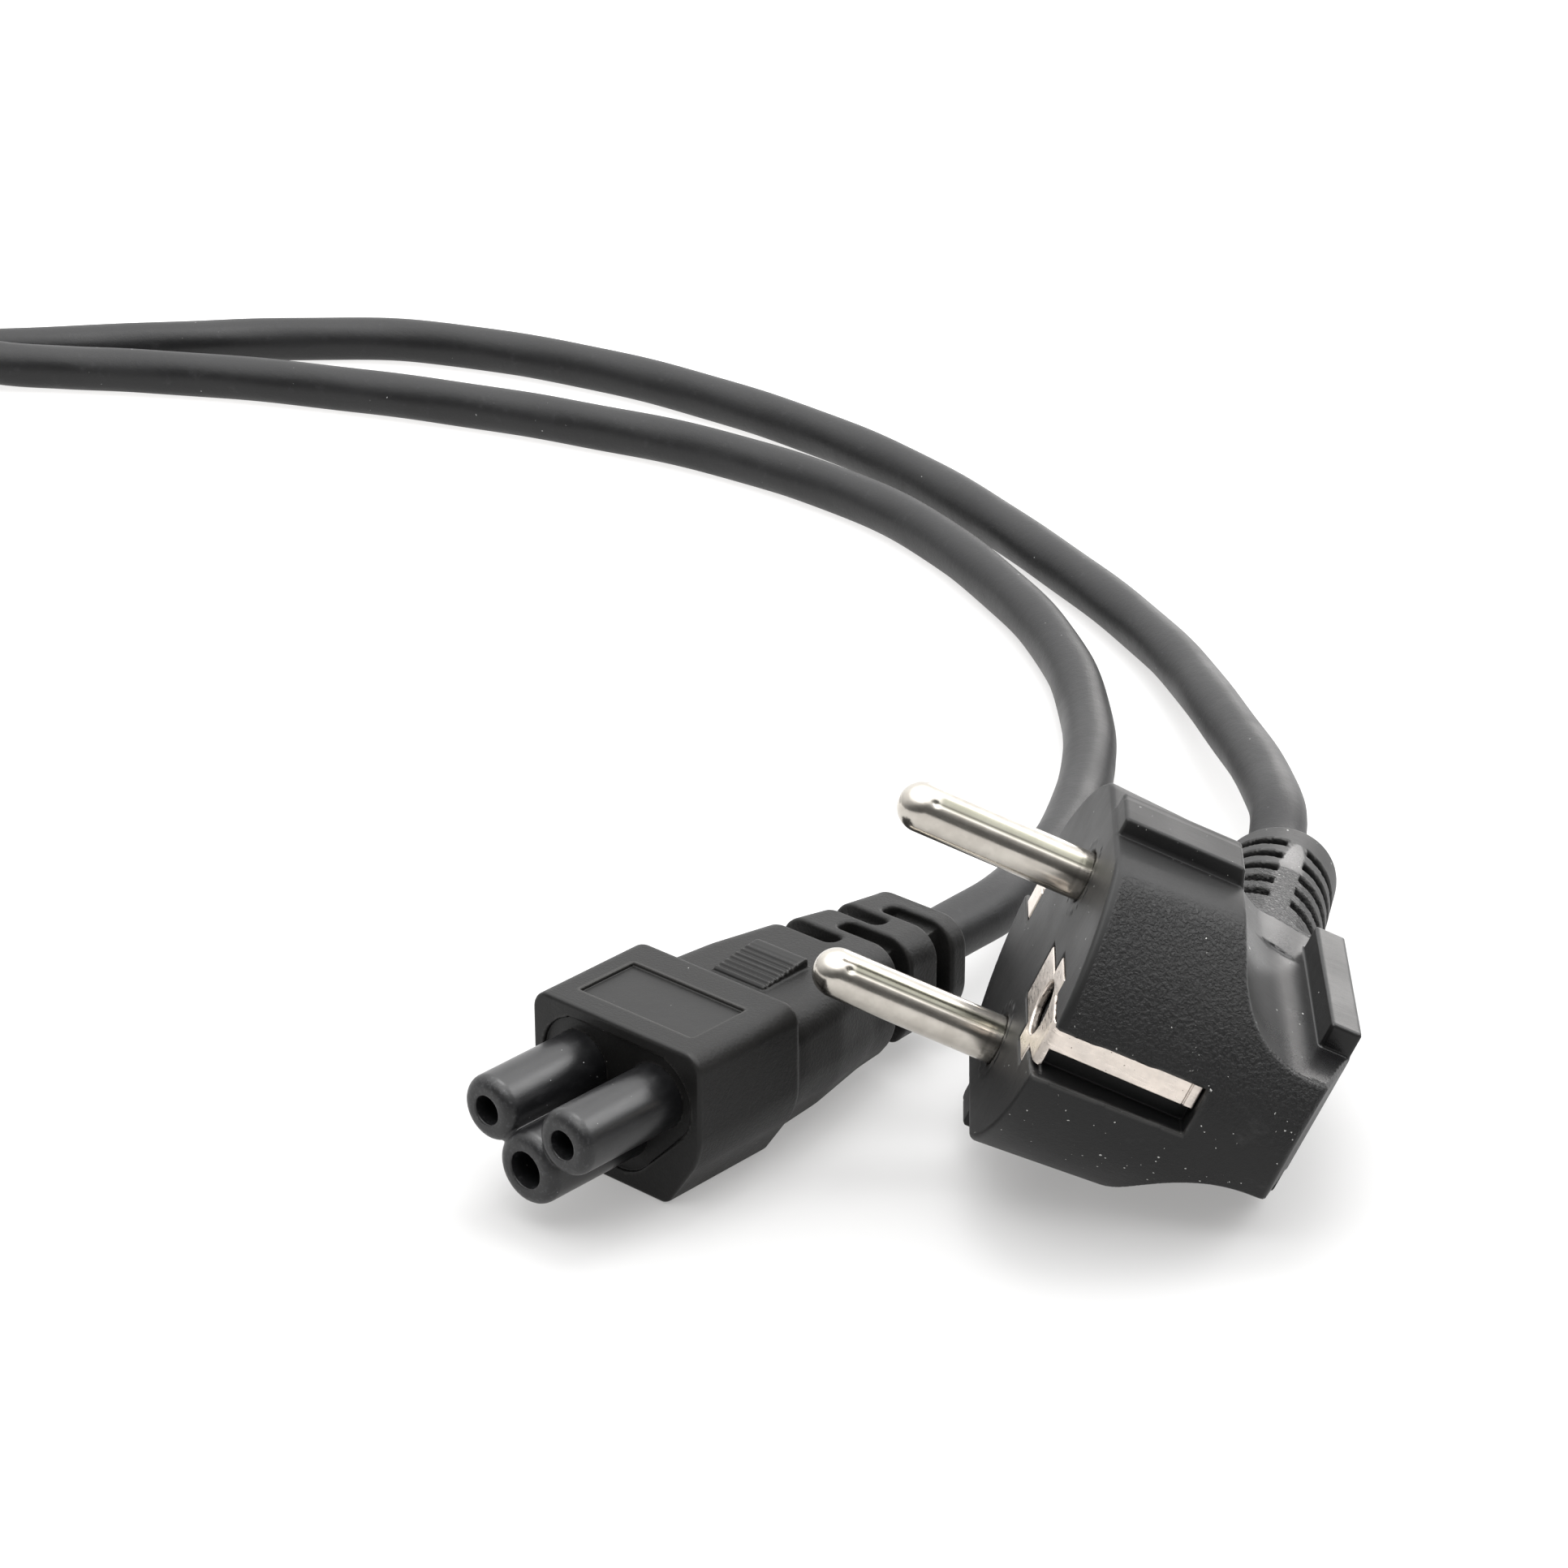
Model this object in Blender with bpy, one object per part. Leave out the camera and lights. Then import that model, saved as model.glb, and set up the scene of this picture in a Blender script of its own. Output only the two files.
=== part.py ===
# Cloverleaf power cord: an angled two-pin mains plug with side earth contacts,
# a round black PVC cord and a three-pole cloverleaf appliance connector.
# Units: metres, +Z up. The set lies on a level floor at z = 0.
# The two moulded ends are drawn in their own frames, in millimetres, and are
# then placed in the common frame.

import bpy
import bmesh
import math
from mathutils import Matrix, Vector

MM = 0.001
GAP = 0.30                      # clearance between neighbouring pieces, mm

# ----------------------------------------------------------------- dimensions
# plug: x across the two pins, y towards the earth hole, z along the pins,
# contact face at z = 0
PIN_D = 4.8
PIN_LEN = 19.0
PIN_PITCH = 19.0
PIN_SEAT = 8.0                  # pin length held in the body
FACE_RX = 17.9                  # half width and half height of the outline
FACE_RY = 19.2                  # at the contact face
TAPER = 1.65                    # by which both shrink towards the back
BODY_DEPTH = 28.6
WEB_X = 6.5                     # half thickness of the web between the saddles
SADDLE_R = 10.2                 # radius of each concave finger saddle
SADDLE_Z = -24.0                # height of the arc's centre
SADDLE_SLOPE = 0.42             # rise of the straight part towards the rim
KEY_X = 15.95                   # half distance between the guide flats
KEY_RIB_X = 17.75               # half distance over the guide ribs
KEY_HALF = 3.0                  # half width of each guide rib
BACK_BREAK_Y = 8.0              # where the back starts to slope
BACK_END_Y = 17.6
BACK_END_Z = -25.2
RAIL_X = 9.2                    # grip rail on the back: half width
RAIL_Y0 = -12.5
RAIL_Y1 = 8.2
RAIL_Z = -25.4
BOOT_Y0 = -9.0                  # strain relief boot
BOOT_Y1 = -41.5
BOOT_Z0 = -20.8
BOOT_Z1 = -27.8
BOOT_R0 = 7.0
BOOT_R1 = 6.3
BOOT_SLOTS = 5
BOOT_SLOT_W = 1.9
BOOT_SLOT_PITCH = 3.8
BOOT_SLOT_Y = -21.6
EARTH_HOLE_D = 5.2
EARTH_HOLE_Y = 10.0
EARTH_HOLE_DEPTH = 16.0
PLATE_T = 0.8                   # sheet thickness of the earth contacts
STRIP_Y = 17.2                  # outer surface of the side strips
STRIP_LEN = 15.2

# connector: s across, l from the front to the cord, z up from the floor
HEAD_W = 21.6
HEAD_H = 17.1
HEAD_L0 = -0.9                  # front face
HEAD_L = 13.4                   # where the head steps down to the neck
NECK_Z = 14.95
HEAD_CH_W = 4.4
HEAD_CH_H = 6.4
TUBE_DX = 4.9                   # half spacing of the line and neutral tubes
TUBE_Z = 11.0
EARTH_TUBE_Z = 6.5
TUBE_R = 3.3
EARTH_TUBE_R = 3.7
TUBE_OUT = 13.1                 # how far the tubes stand out of the front
BORE_R = 1.45
EARTH_BORE_R = 1.85
POCKET_DEPTH = 1.6
POCKET_WALL = 0.7

RELIEF_SLOTS = ((-1, 29.3), (1, 32.8), (-1, 36.0), (1, 39.3))
RELIEF_SLOT_W = 2.2

WEDGE_L0 = 16.2                 # ridged thumb wedge behind the head
WEDGE_L1 = 22.8
WEDGE_Z0 = 15.1
WEDGE_Z1 = 15.95
WEDGE_RIDGES = 9
WEDGE_HALF = 3.3

# cord
CORD_D = 6.2
CORD_S = 0.4                    # where it enters the connector
CORD_Z = 8.4
CORD_L = 41.0

# ----------------------------------------------------------------- placement
# the floor point under the middle of the two mouldings, in the layout's frame, mm
ORIGIN = Vector((13.769, -73.432, 0.0))
PLUG_T = Vector((24.07, -84.63, 21.36))
PLUG_X = Vector((-0.411, 0.003, -0.912))
PLUG_Z = Vector((-0.911, 0.039, 0.411))
CON_T = Vector((-15.28, -88.85, 0.0))
CON_YAW = math.radians(48.16)


def clear_scene():
    for ob in list(bpy.data.objects):
        bpy.data.objects.remove(ob, do_unlink=True)


def plug_frame():
    z = PLUG_Z.normalized()
    x = (PLUG_X - z * PLUG_X.dot(z)).normalized()
    y = z.cross(x)
    m = Matrix((x, y, z)).transposed().to_4x4()
    m.translation = PLUG_T - ORIGIN
    return Matrix.Scale(MM, 4) @ m


def con_frame():
    c, s = math.cos(CON_YAW), math.sin(CON_YAW)
    m = Matrix(((s, c, 0.0), (-c, s, 0.0), (0.0, 0.0, 1.0))).to_4x4()
    m.translation = CON_T - ORIGIN
    return Matrix.Scale(MM, 4) @ m


def material(name, colour, rough, metal=0.0):
    mat = bpy.data.materials.new(name)
    mat.use_nodes = True
    b = mat.node_tree.nodes["Principled BSDF"]
    b.inputs["Base Color"].default_value = (*colour, 1.0)
    b.inputs["Roughness"].default_value = rough
    b.inputs["Metallic"].default_value = metal
    return mat


def add_object(name, bm, mat=None):
    bmesh.ops.recalc_face_normals(bm, faces=bm.faces)
    me = bpy.data.meshes.new(name)
    bm.to_mesh(me)
    bm.free()
    ob = bpy.data.objects.new(name, me)
    bpy.context.scene.collection.objects.link(ob)
    if mat is not None:
        me.materials.append(mat)
    return ob


def prism(outline, lo, hi, axis=2, scale_hi=1.0):
    """Extrude a closed outline of (a, b) points from lo to hi along an axis."""
    bm = bmesh.new()

    def put(a, b, c):
        if axis == 2:
            return (a, b, c)
        if axis == 1:
            return (a, c, b)
        return (c, a, b)

    bot = [bm.verts.new(put(a, b, lo)) for a, b in outline]
    top = [bm.verts.new(put(a * scale_hi, b * scale_hi, hi)) for a, b in outline]
    n = len(outline)
    bm.faces.new(bot[::-1])
    bm.faces.new(top)
    for i in range(n):
        j = (i + 1) % n
        bm.faces.new((bot[i], bot[j], top[j], top[i]))
    return bm


def loft(sections):
    """Skin a list of equal-length point rings, with flat end caps."""
    bm = bmesh.new()
    rings = [[bm.verts.new(p) for p in ring] for ring in sections]
    n = len(rings[0])
    for a, b in zip(rings, rings[1:]):
        for i in range(n):
            j = (i + 1) % n
            bm.faces.new((a[i], a[j], b[j], b[i]))
    bm.faces.new(rings[0][::-1])
    bm.faces.new(rings[-1])
    return bm


def circle(cx, cy, r, n, start=0.0):
    return [(cx + r * math.cos(start + 2 * math.pi * i / n),
             cy + r * math.sin(start + 2 * math.pi * i / n)) for i in range(n)]


def rounded_rect(x0, x1, y0, y1, r, n=4):
    pts = []
    for cx, cy, a0 in ((x1 - r, y1 - r, 0), (x0 + r, y1 - r, 90),
                       (x0 + r, y0 + r, 180), (x1 - r, y0 + r, 270)):
        for k in range(n + 1):
            a = math.radians(a0 + 90.0 * k / n)
            pts.append((cx + r * math.cos(a), cy + r * math.sin(a)))
    return pts


def round_corners(pts, radii, n=4):
    """Round the corners of a polygon; radii matches pts."""
    out = []
    m = len(pts)
    for i, p in enumerate(pts):
        r = radii[i]
        p = Vector(p)
        if r <= 0:
            out.append(tuple(p))
            continue
        a = (Vector(pts[i - 1]) - p).normalized()
        b = (Vector(pts[(i + 1) % m]) - p).normalized()
        half = a.angle(b) / 2
        t = r / math.tan(half)
        c = p + (a + b).normalized() * (r / math.sin(half))
        s = p + a * t - c
        e = p + b * t - c
        ang = s.angle_signed(e)
        for k in range(n + 1):
            q = s.copy()
            q.rotate(Matrix.Rotation(-ang * k / n, 2))
            out.append(tuple(c + q))
    return out


def boolean(ob, other, op):
    mod = ob.modifiers.new(op.lower(), "BOOLEAN")
    mod.operation = op
    mod.solver = "EXACT"
    mod.object = other
    other.hide_render = True
    other.display_type = "WIRE"


def apply_mods(ob):
    """Bake an object's modifiers into its mesh and drop the tools it used."""
    tools = [m.object for m in ob.modifiers if m.type == "BOOLEAN"]
    deps = bpy.context.evaluated_depsgraph_get()
    me = bpy.data.meshes.new_from_object(ob.evaluated_get(deps))
    mats = [s.material for s in ob.material_slots]
    ob.modifiers.clear()
    ob.data = me
    me.materials.clear()
    for m in mats:
        me.materials.append(m)
    for t in tools:
        bpy.data.objects.remove(t, do_unlink=True)
    return ob


def tidy(ob, dist=0.004):
    bm = bmesh.new()
    bm.from_mesh(ob.data)
    bmesh.ops.remove_doubles(bm, verts=bm.verts, dist=dist)
    bmesh.ops.dissolve_degenerate(bm, edges=bm.edges, dist=dist)
    bmesh.ops.recalc_face_normals(bm, faces=bm.faces)
    bm.to_mesh(ob.data)
    bm.free()


def place(ob, frame):
    ob.matrix_world = frame
    ob.data.shade_smooth()
    ob.data.set_sharp_from_angle(angle=math.radians(32))


def cut(ob, bm, name="cutter"):
    boolean(ob, add_object(name, bm), "DIFFERENCE")


def join(ob, bm, name="adder"):
    boolean(ob, add_object(name, bm), "UNION")


# ----------------------------------------------------------------- plug
def body_outline(z, n, inset=0.0):
    """Elliptical outline of the body at depth z."""
    t = TAPER * z / BODY_DEPTH - inset
    return [((FACE_RX + t) * x, (FACE_RY + t) * y) for x, y in circle(0, 0, 1.0, n, math.pi / n)]


def make_plug(mat):
    n = 72
    rings = []
    for z, inset in ((0.0, 0.5), (-0.5, 0.0), (-BODY_DEPTH, 0.0)):
        rings.append([(x, y, z) for x, y in body_outline(z, n, inset)])
    body = add_object("plug_body", loft(rings), mat)
    join(body, prism([(-KEY_RIB_X, -KEY_HALF), (KEY_RIB_X, -KEY_HALF), (KEY_RIB_X, KEY_HALF),
                      (-KEY_RIB_X, KEY_HALF)], -BODY_DEPTH, -0.3), "guide_rib")

    # finger saddles, one on each side of the middle web
    for sx in (-1, 1):
        cut(body, prism(saddle_outline(sx), -30, 30, axis=1), "saddle")
    # sloped back at the near end
    pts = [(BACK_BREAK_Y, -BODY_DEPTH), (BACK_BREAK_Y + 14, -BODY_DEPTH + 14 *
           (BODY_DEPTH + BACK_END_Z) / (BACK_END_Y - BACK_BREAK_Y)),
           (BACK_BREAK_Y + 14, -40), (BACK_BREAK_Y, -40)]
    cut(body, prism(pts, -30, 30, axis=0), "back_slope")
    # guide flats on both sides, with a rib between them
    for sx in (-1, 1):
        for sy in (-1, 1):
            x0, x1 = sorted((sx * KEY_X, sx * 24))
            y0, y1 = sorted((sy * KEY_HALF, sy * 12))
            cut(body, prism([(x0, y0), (x1, y0), (x1, y1), (x0, y1)], -40, 2), "guide")
    # grip rail across the back
    join(body, prism(rounded_rect(-RAIL_X, RAIL_X, RAIL_Y0, RAIL_Y1, 0.5, 2),
                     -BODY_DEPTH, RAIL_Z), "rail")
    # strain relief boot
    sec = []
    steps = 8
    for k in range(steps + 1):
        t = k / steps
        y = BOOT_Y0 + (BOOT_Y1 - BOOT_Y0) * t
        zc = BOOT_Z0 + (BOOT_Z1 - BOOT_Z0) * t
        r = BOOT_R0 + (BOOT_R1 - BOOT_R0) * t
        sec.append([(a, y, b) for a, b in circle(0, zc, r, 40, math.pi / 40)])
    y_end = BOOT_Y1 - 0.8
    sec.append([(a, y_end, b) for a, b in circle(0, BOOT_Z1 - 0.1, BOOT_R1 - 0.9, 40, math.pi / 40)])
    join(body, loft(sec), "boot")
    apply_mods(body)

    # slots either side of the boot's two ribs
    for k in range(BOOT_SLOTS):
        y = BOOT_SLOT_Y - k * BOOT_SLOT_PITCH
        t = (y - BOOT_Y0) / (BOOT_Y1 - BOOT_Y0)
        zc = BOOT_Z0 + (BOOT_Z1 - BOOT_Z0) * t
        for sz in (-1, 1):
            bm = prism(slot_outline(sz), -BOOT_SLOT_W / 2, BOOT_SLOT_W / 2, axis=1)
            turn = Matrix.Rotation(math.atan((BOOT_Z1 - BOOT_Z0) / (BOOT_Y1 - BOOT_Y0)), 4, "X")
            bmesh.ops.transform(bm, matrix=Matrix.Translation((0, y, zc)) @ turn, verts=bm.verts)
            cut(body, bm, "boot_slot")
    # pin sockets
    for sx in (-1, 1):
        cut(body, prism(circle(sx * PIN_PITCH / 2, 0, PIN_D / 2 + GAP, 32),
                        -PIN_SEAT - GAP, 2), "pin_seat")
    # earth hole
    cut(body, prism(circle(0, EARTH_HOLE_Y, EARTH_HOLE_D / 2, 32), -EARTH_HOLE_DEPTH, 2), "earth_hole")
    # seat of the earth plate on the face, and the channels of the side strips
    t = PLATE_T + GAP
    cut(body, prism(plate_outline(GAP), -t, 2), "plate_seat")
    cut(body, prism([(-2.5, 15.4), (2.5, 15.4), (2.5, 24), (-2.5, 24)], -STRIP_LEN - 0.7, 2), "channel")
    cut(body, prism([(-2.5, -24), (2.5, -24), (2.5, -15.4), (-2.5, -15.4)], -STRIP_LEN - 0.7, 2), "channel")
    cut(body, prism([(-2.5, -16), (2.5, -16), (2.5, -12.4), (-2.5, -12.4)], -t, 2), "tab_seat")
    # entry of the cord
    cut(body, boot_bore(), "cord_entry")
    apply_mods(body)
    tidy(body)
    return body


def saddle_outline(sx):
    """Section of one finger saddle: straight web side, arc, straight slope to the rim."""
    pts = [(sx * WEB_X, -34.0)]
    cx, cz = WEB_X + SADDLE_R, SADDLE_Z
    a_end = math.atan2(1.0, SADDLE_SLOPE)
    for k in range(13):
        a = math.pi - a_end * k / 12
        pts.append((sx * (cx + SADDLE_R * math.cos(a)), cz + SADDLE_R * math.sin(a)))
    x, z = cx - SADDLE_R * math.cos(a_end), cz + SADDLE_R * math.sin(a_end)
    pts += [(sx * 32.0, z + SADDLE_SLOPE * (32.0 - x)), (sx * 32.0, -34.0)]
    if sx < 0:
        pts.reverse()
    return pts


def slot_outline(sz):
    """Slot section in the boot: an outer half ring that stops short of the side ribs."""
    pts = []
    r_in, r_out = 4.4, 9.0
    for k in range(9):
        a = math.radians(9.5 + 161 * k / 8)
        pts.append((r_out * math.cos(a), sz * r_out * math.sin(a)))
    for k in range(9):
        a = math.radians(166 - 152 * k / 8)
        pts.append((r_in * math.cos(a), sz * r_in * math.sin(a)))
    if sz < 0:
        pts.reverse()
    return pts


def boot_bore():
    sec = []
    for y in (BOOT_Y1 - 2.0, BOOT_Y1 + 6.0):
        t = (y - BOOT_Y0) / (BOOT_Y1 - BOOT_Y0)
        zc = BOOT_Z0 + (BOOT_Z1 - BOOT_Z0) * t
        sec.append([(a, y, b) for a, b in circle(0, zc, CORD_D / 2 + GAP, 20)])
    return loft(sec)


def plate_outline(grow):
    g = grow
    return [(-2.8 - g, 2.4 - g), (2.8 + g, 2.4 - g), (2.8 + g, 8.0 - g), (4.6 + g, 8.0 - g),
            (4.6 + g, 12.6 + g), (2.8 + g, 12.6 + g), (2.2 + g, 19.0), (-2.2 - g, 19.0),
            (-2.8 - g, 12.6 + g), (-4.6 - g, 12.6 + g), (-4.6 - g, 8.0 - g), (-2.8 - g, 8.0 - g)]


def make_pin(name, sx, mat):
    r = PIN_D / 2
    n = 32
    prof = [(r, -PIN_SEAT), (r, 0.0)]
    for k in range(1, 7):
        a = math.radians(90.0 * k / 7)
        prof.append((r * math.cos(a), PIN_LEN - r + r * math.sin(a)))
    prof.insert(2, (r, PIN_LEN - r))
    sec = [[(sx * PIN_PITCH / 2 + a, b, z) for a, b in circle(0, 0, rr, n)] for rr, z in prof]
    bm = loft(sec)
    return add_object(name, bm, mat)


def make_earth_contact(mat):
    """Face plate with the earth hole, bent down into the near side strip."""
    out = plate_outline(0.0)
    pts = [(x, min(y, STRIP_Y)) for x, y in out]
    ob = add_object("earth_contact", prism(pts, -PLATE_T, 0.0), mat)
    join(ob, prism([(-2.2, STRIP_Y - PLATE_T), (0.9, STRIP_Y - PLATE_T), (0.9, STRIP_Y), (-2.2, STRIP_Y)],
                   -STRIP_LEN, -PLATE_T / 2), "strip")
    cut(ob, prism(circle(0, EARTH_HOLE_Y, EARTH_HOLE_D / 2, 32), -3, 2), "hole")
    apply_mods(ob)
    tidy(ob)
    return ob


def make_earth_strip(mat):
    """Earth contact on the far side: a short lip on the face and a side strip."""
    ob = add_object("earth_strip", prism([(-0.9, -STRIP_Y), (2.2, -STRIP_Y), (2.2, -12.7), (-0.9, -12.7)],
                                         -PLATE_T, 0.0), mat)
    join(ob, prism([(-0.9, -STRIP_Y), (2.2, -STRIP_Y), (2.2, -STRIP_Y + PLATE_T), (-0.9, -STRIP_Y + PLATE_T)],
                   -STRIP_LEN, -PLATE_T / 2), "strip")
    apply_mods(ob)
    tidy(ob)
    return ob


# ----------------------------------------------------------------- connector
def con_ring(s0, w, z0, z1, l, ch_w, ch_h, r):
    """Section of the connector: a rounded box with its two lower corners cut off."""
    pts = [(-w + ch_w, z0), (w - ch_w, z0), (w, z0 + ch_h), (w, z1), (-w, z1), (-w, z0 + ch_h)]
    return [(a + s0, l, b) for a, b in round_corners(pts, (0.8, 0.8, 2.0, r, r, 2.0), 4)]


def clover(grow):
    """The three discs, (s, z, radius), whose union is the cloverleaf."""
    return ((-TUBE_DX, TUBE_Z, TUBE_R + grow), (TUBE_DX, TUBE_Z, TUBE_R + grow),
            (0.0, EARTH_TUBE_Z, EARTH_TUBE_R + grow))


def wedge_outline():
    """Side outline (l, z) of the thumb wedge with its saw-tooth cross ridges."""
    pts = [(WEDGE_L0, 12.5), (WEDGE_L0, WEDGE_Z0)]
    step = (WEDGE_L1 - WEDGE_L0) / WEDGE_RIDGES
    for k in range(WEDGE_RIDGES):
        l = WEDGE_L0 + step * k
        z = WEDGE_Z0 + (WEDGE_Z1 - WEDGE_Z0) * k / (WEDGE_RIDGES - 1)
        pts += [(l + step * 0.3, z + 0.16), (l + step * 0.7, z + 0.16), (l + step, z)]
    pts.append((WEDGE_L1, 12.5))
    return pts


def make_connector(mat):
    # (centre across, half width, bottom, top, distance, chamfer width and height, radius)
    h, c = HEAD_W / 2, (HEAD_CH_W, HEAD_CH_H)
    sections = [con_ring(0.0, h - 0.5, 0.5, HEAD_H - 0.5, HEAD_L0, *c, 2.0),
                con_ring(0.0, h, 0.0, HEAD_H, HEAD_L0 + 0.6, *c, 2.4),
                con_ring(0.0, h, 0.0, HEAD_H, HEAD_L - 1.2, *c, 2.4),
                con_ring(0.0, h - 0.3, 0.2, HEAD_H - 0.4, HEAD_L - 0.4, *c, 2.6),
                con_ring(0.0, h - 0.7, 0.6, NECK_Z + 0.5, HEAD_L + 0.5, *c, 3.0),
                con_ring(0.0, h - 0.9, 0.8, NECK_Z, HEAD_L + 1.3, 4.2, 6.0, 3.0),
                con_ring(0.0, 9.2, 1.2, NECK_Z, 21.0, 3.6, 5.0, 3.0),
                con_ring(0.0, 7.5, 2.0, NECK_Z, 28.0, 2.6, 3.6, 3.2),
                con_ring(0.3, 6.6, 2.5, 14.4, 35.0, 2.2, 2.8, 3.2),
                con_ring(0.5, 6.3, 2.8, 13.7, 42.3, 2.0, 2.4, 3.0),
                con_ring(0.5, 5.9, 3.2, 13.3, 42.8, 2.0, 2.4, 2.8)]
    body = add_object("connector_body", loft(sections), mat)
    # shallow bare panel on top of the head
    cut(body, prism([(-7.3, 1.9), (7.3, 1.9), (7.3, 9.3), (-7.3, 9.3)], HEAD_H - 0.4, HEAD_H + 3), "panel")
    # ridged thumb wedge on the neck
    join(body, prism(wedge_outline(), -WEDGE_HALF, WEDGE_HALF, axis=0), "wedge")
    apply_mods(body)
    # strain relief slots, alternately from the left and from the right
    for sx, l in RELIEF_SLOTS:
        c = 0.5 * (l - 28.0) / 14.3
        y0, y1 = l - RELIEF_SLOT_W / 2, l + RELIEF_SLOT_W / 2
        for x_in, z0, z1 in ((sx * 3.8, -2.0, 20.0), (-sx * 1.3, 12.4, 20.0), (-sx * 1.3, -2.0, 4.6)):
            x0, x1 = sorted((c + x_in, sx * 12))
            cut(body, prism([(x0, y0), (x1, y0), (x1, y1), (x0, y1)], z0, z1), "relief")
    # pocket for the contact block
    for k, (x, z, r) in enumerate(clover(POCKET_WALL)):
        cut(body, prism(circle(x, z, r, 32), -3, 10.0, axis=1), "pocket%d" % k)
    # cord entry
    cut(body, prism(circle(CORD_S, CORD_Z, CORD_D / 2 + GAP, 20), CORD_L - 2.0, 46.0, axis=1), "cord_entry")
    apply_mods(body)
    tidy(body)
    return body


def make_insert(mat):
    """Contact block: three round-nosed tubes on a common base in the pocket."""
    f = 1.1
    n = 32
    ob = None
    for x, z, r in clover(0.0):
        sec = []
        for k in range(5):
            a = math.radians(90.0 * k / 4)
            rr = r - f + f * math.sin(a)
            l = -TUBE_OUT + f - f * math.cos(a)
            sec.append([(p, l, q) for p, q in circle(x, z, rr, n)])
        sec.append([(p, POCKET_DEPTH, q) for p, q in circle(x, z, r, n)])
        bm = loft(sec)
        if ob is None:
            ob = add_object("connector_insert", bm, mat)
        else:
            join(ob, bm, "tube")
    for x, z, r in clover(POCKET_WALL - GAP):
        join(ob, prism(circle(x, z, r, n), POCKET_DEPTH, 9.7, axis=1), "base")
    apply_mods(ob)
    for (x, z, r), br in zip(clover(0.0), (BORE_R, BORE_R, EARTH_BORE_R)):
        cut(ob, prism(circle(x, z, br, 20), -TUBE_OUT - 1, 2.0, axis=1), "bore")
    apply_mods(ob)
    tidy(ob)
    return ob


def make_sleeve(name, x, z, r, mat):
    """Contact sleeve at the bottom of a bore: a short open tube."""
    n = 20
    bm = bmesh.new()
    rings = []
    for rr, l in ((r - GAP, -6.0), (r - GAP, 1.7), (r - 0.75, 1.7), (r - 0.75, -6.0)):
        rings.append([bm.verts.new((p, l, q)) for p, q in circle(x, z, rr, n)])
    for a, b in zip(rings, rings[1:] + rings[:1]):
        for i in range(n):
            j = (i + 1) % n
            bm.faces.new((a[i], a[j], b[j], b[i]))
    return add_object(name, bm, mat)


# ----------------------------------------------------------------- cord
def smooth_path(ctrl, per=24):
    """Centripetal Catmull-Rom curve through the control points."""
    pts = [Vector(p) for p in ctrl]
    pts = [pts[0] * 2 - pts[1]] + pts + [pts[-1] * 2 - pts[-2]]
    out = []
    for i in range(1, len(pts) - 2):
        p0, p1, p2, p3 = pts[i - 1:i + 3]
        t0 = 0.0
        t1 = t0 + (p1 - p0).length ** 0.5
        t2 = t1 + (p2 - p1).length ** 0.5
        t3 = t2 + (p3 - p2).length ** 0.5
        for k in range(per):
            t = t1 + (t2 - t1) * k / per
            a1 = p0 * ((t1 - t) / (t1 - t0)) + p1 * ((t - t0) / (t1 - t0))
            a2 = p1 * ((t2 - t) / (t2 - t1)) + p2 * ((t - t1) / (t2 - t1))
            a3 = p2 * ((t3 - t) / (t3 - t2)) + p3 * ((t - t2) / (t3 - t2))
            b1 = a1 * ((t2 - t) / (t2 - t0)) + a2 * ((t - t0) / (t2 - t0))
            b2 = a2 * ((t3 - t) / (t3 - t1)) + a3 * ((t - t1) / (t3 - t1))
            out.append(b1 * ((t2 - t) / (t2 - t1)) + b2 * ((t - t1) / (t2 - t1)))
    out.append(pts[-2])
    return out


def resample(pts, step):
    """Points at even distance along a polyline."""
    total = sum((b - a).length for a, b in zip(pts, pts[1:]))
    n = max(2, int(round(total / step)))
    want = [total * i / n for i in range(n + 1)]
    out = []
    acc = 0.0
    k = 0
    for a, b in zip(pts, pts[1:]):
        seg = (b - a).length
        while k < len(want) and want[k] <= acc + seg + 1e-9:
            f = 0.0 if seg == 0 else min(1.0, (want[k] - acc) / seg)
            out.append(a.lerp(b, f))
            k += 1
        acc += seg
    while len(out) < n + 1:
        out.append(pts[-1].copy())
    return out


def tube_curve(name, pts, radius, mat):
    cu = bpy.data.curves.new(name, "CURVE")
    cu.dimensions = "3D"
    sp = cu.splines.new("POLY")
    sp.points.add(len(pts) - 1)
    for q, p in zip(sp.points, pts):
        q.co = (p.x * MM, p.y * MM, p.z * MM, 1.0)
    cu.bevel_depth = radius * MM
    cu.bevel_resolution = 3
    cu.use_fill_caps = True
    ob = bpy.data.objects.new(name, cu)
    bpy.context.scene.collection.objects.link(ob)
    cu.materials.append(mat)
    return ob


def laid(points):
    """Points of the layout's frame, moved to the part's origin."""
    return [Vector(p) - ORIGIN for p in points]


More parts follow.
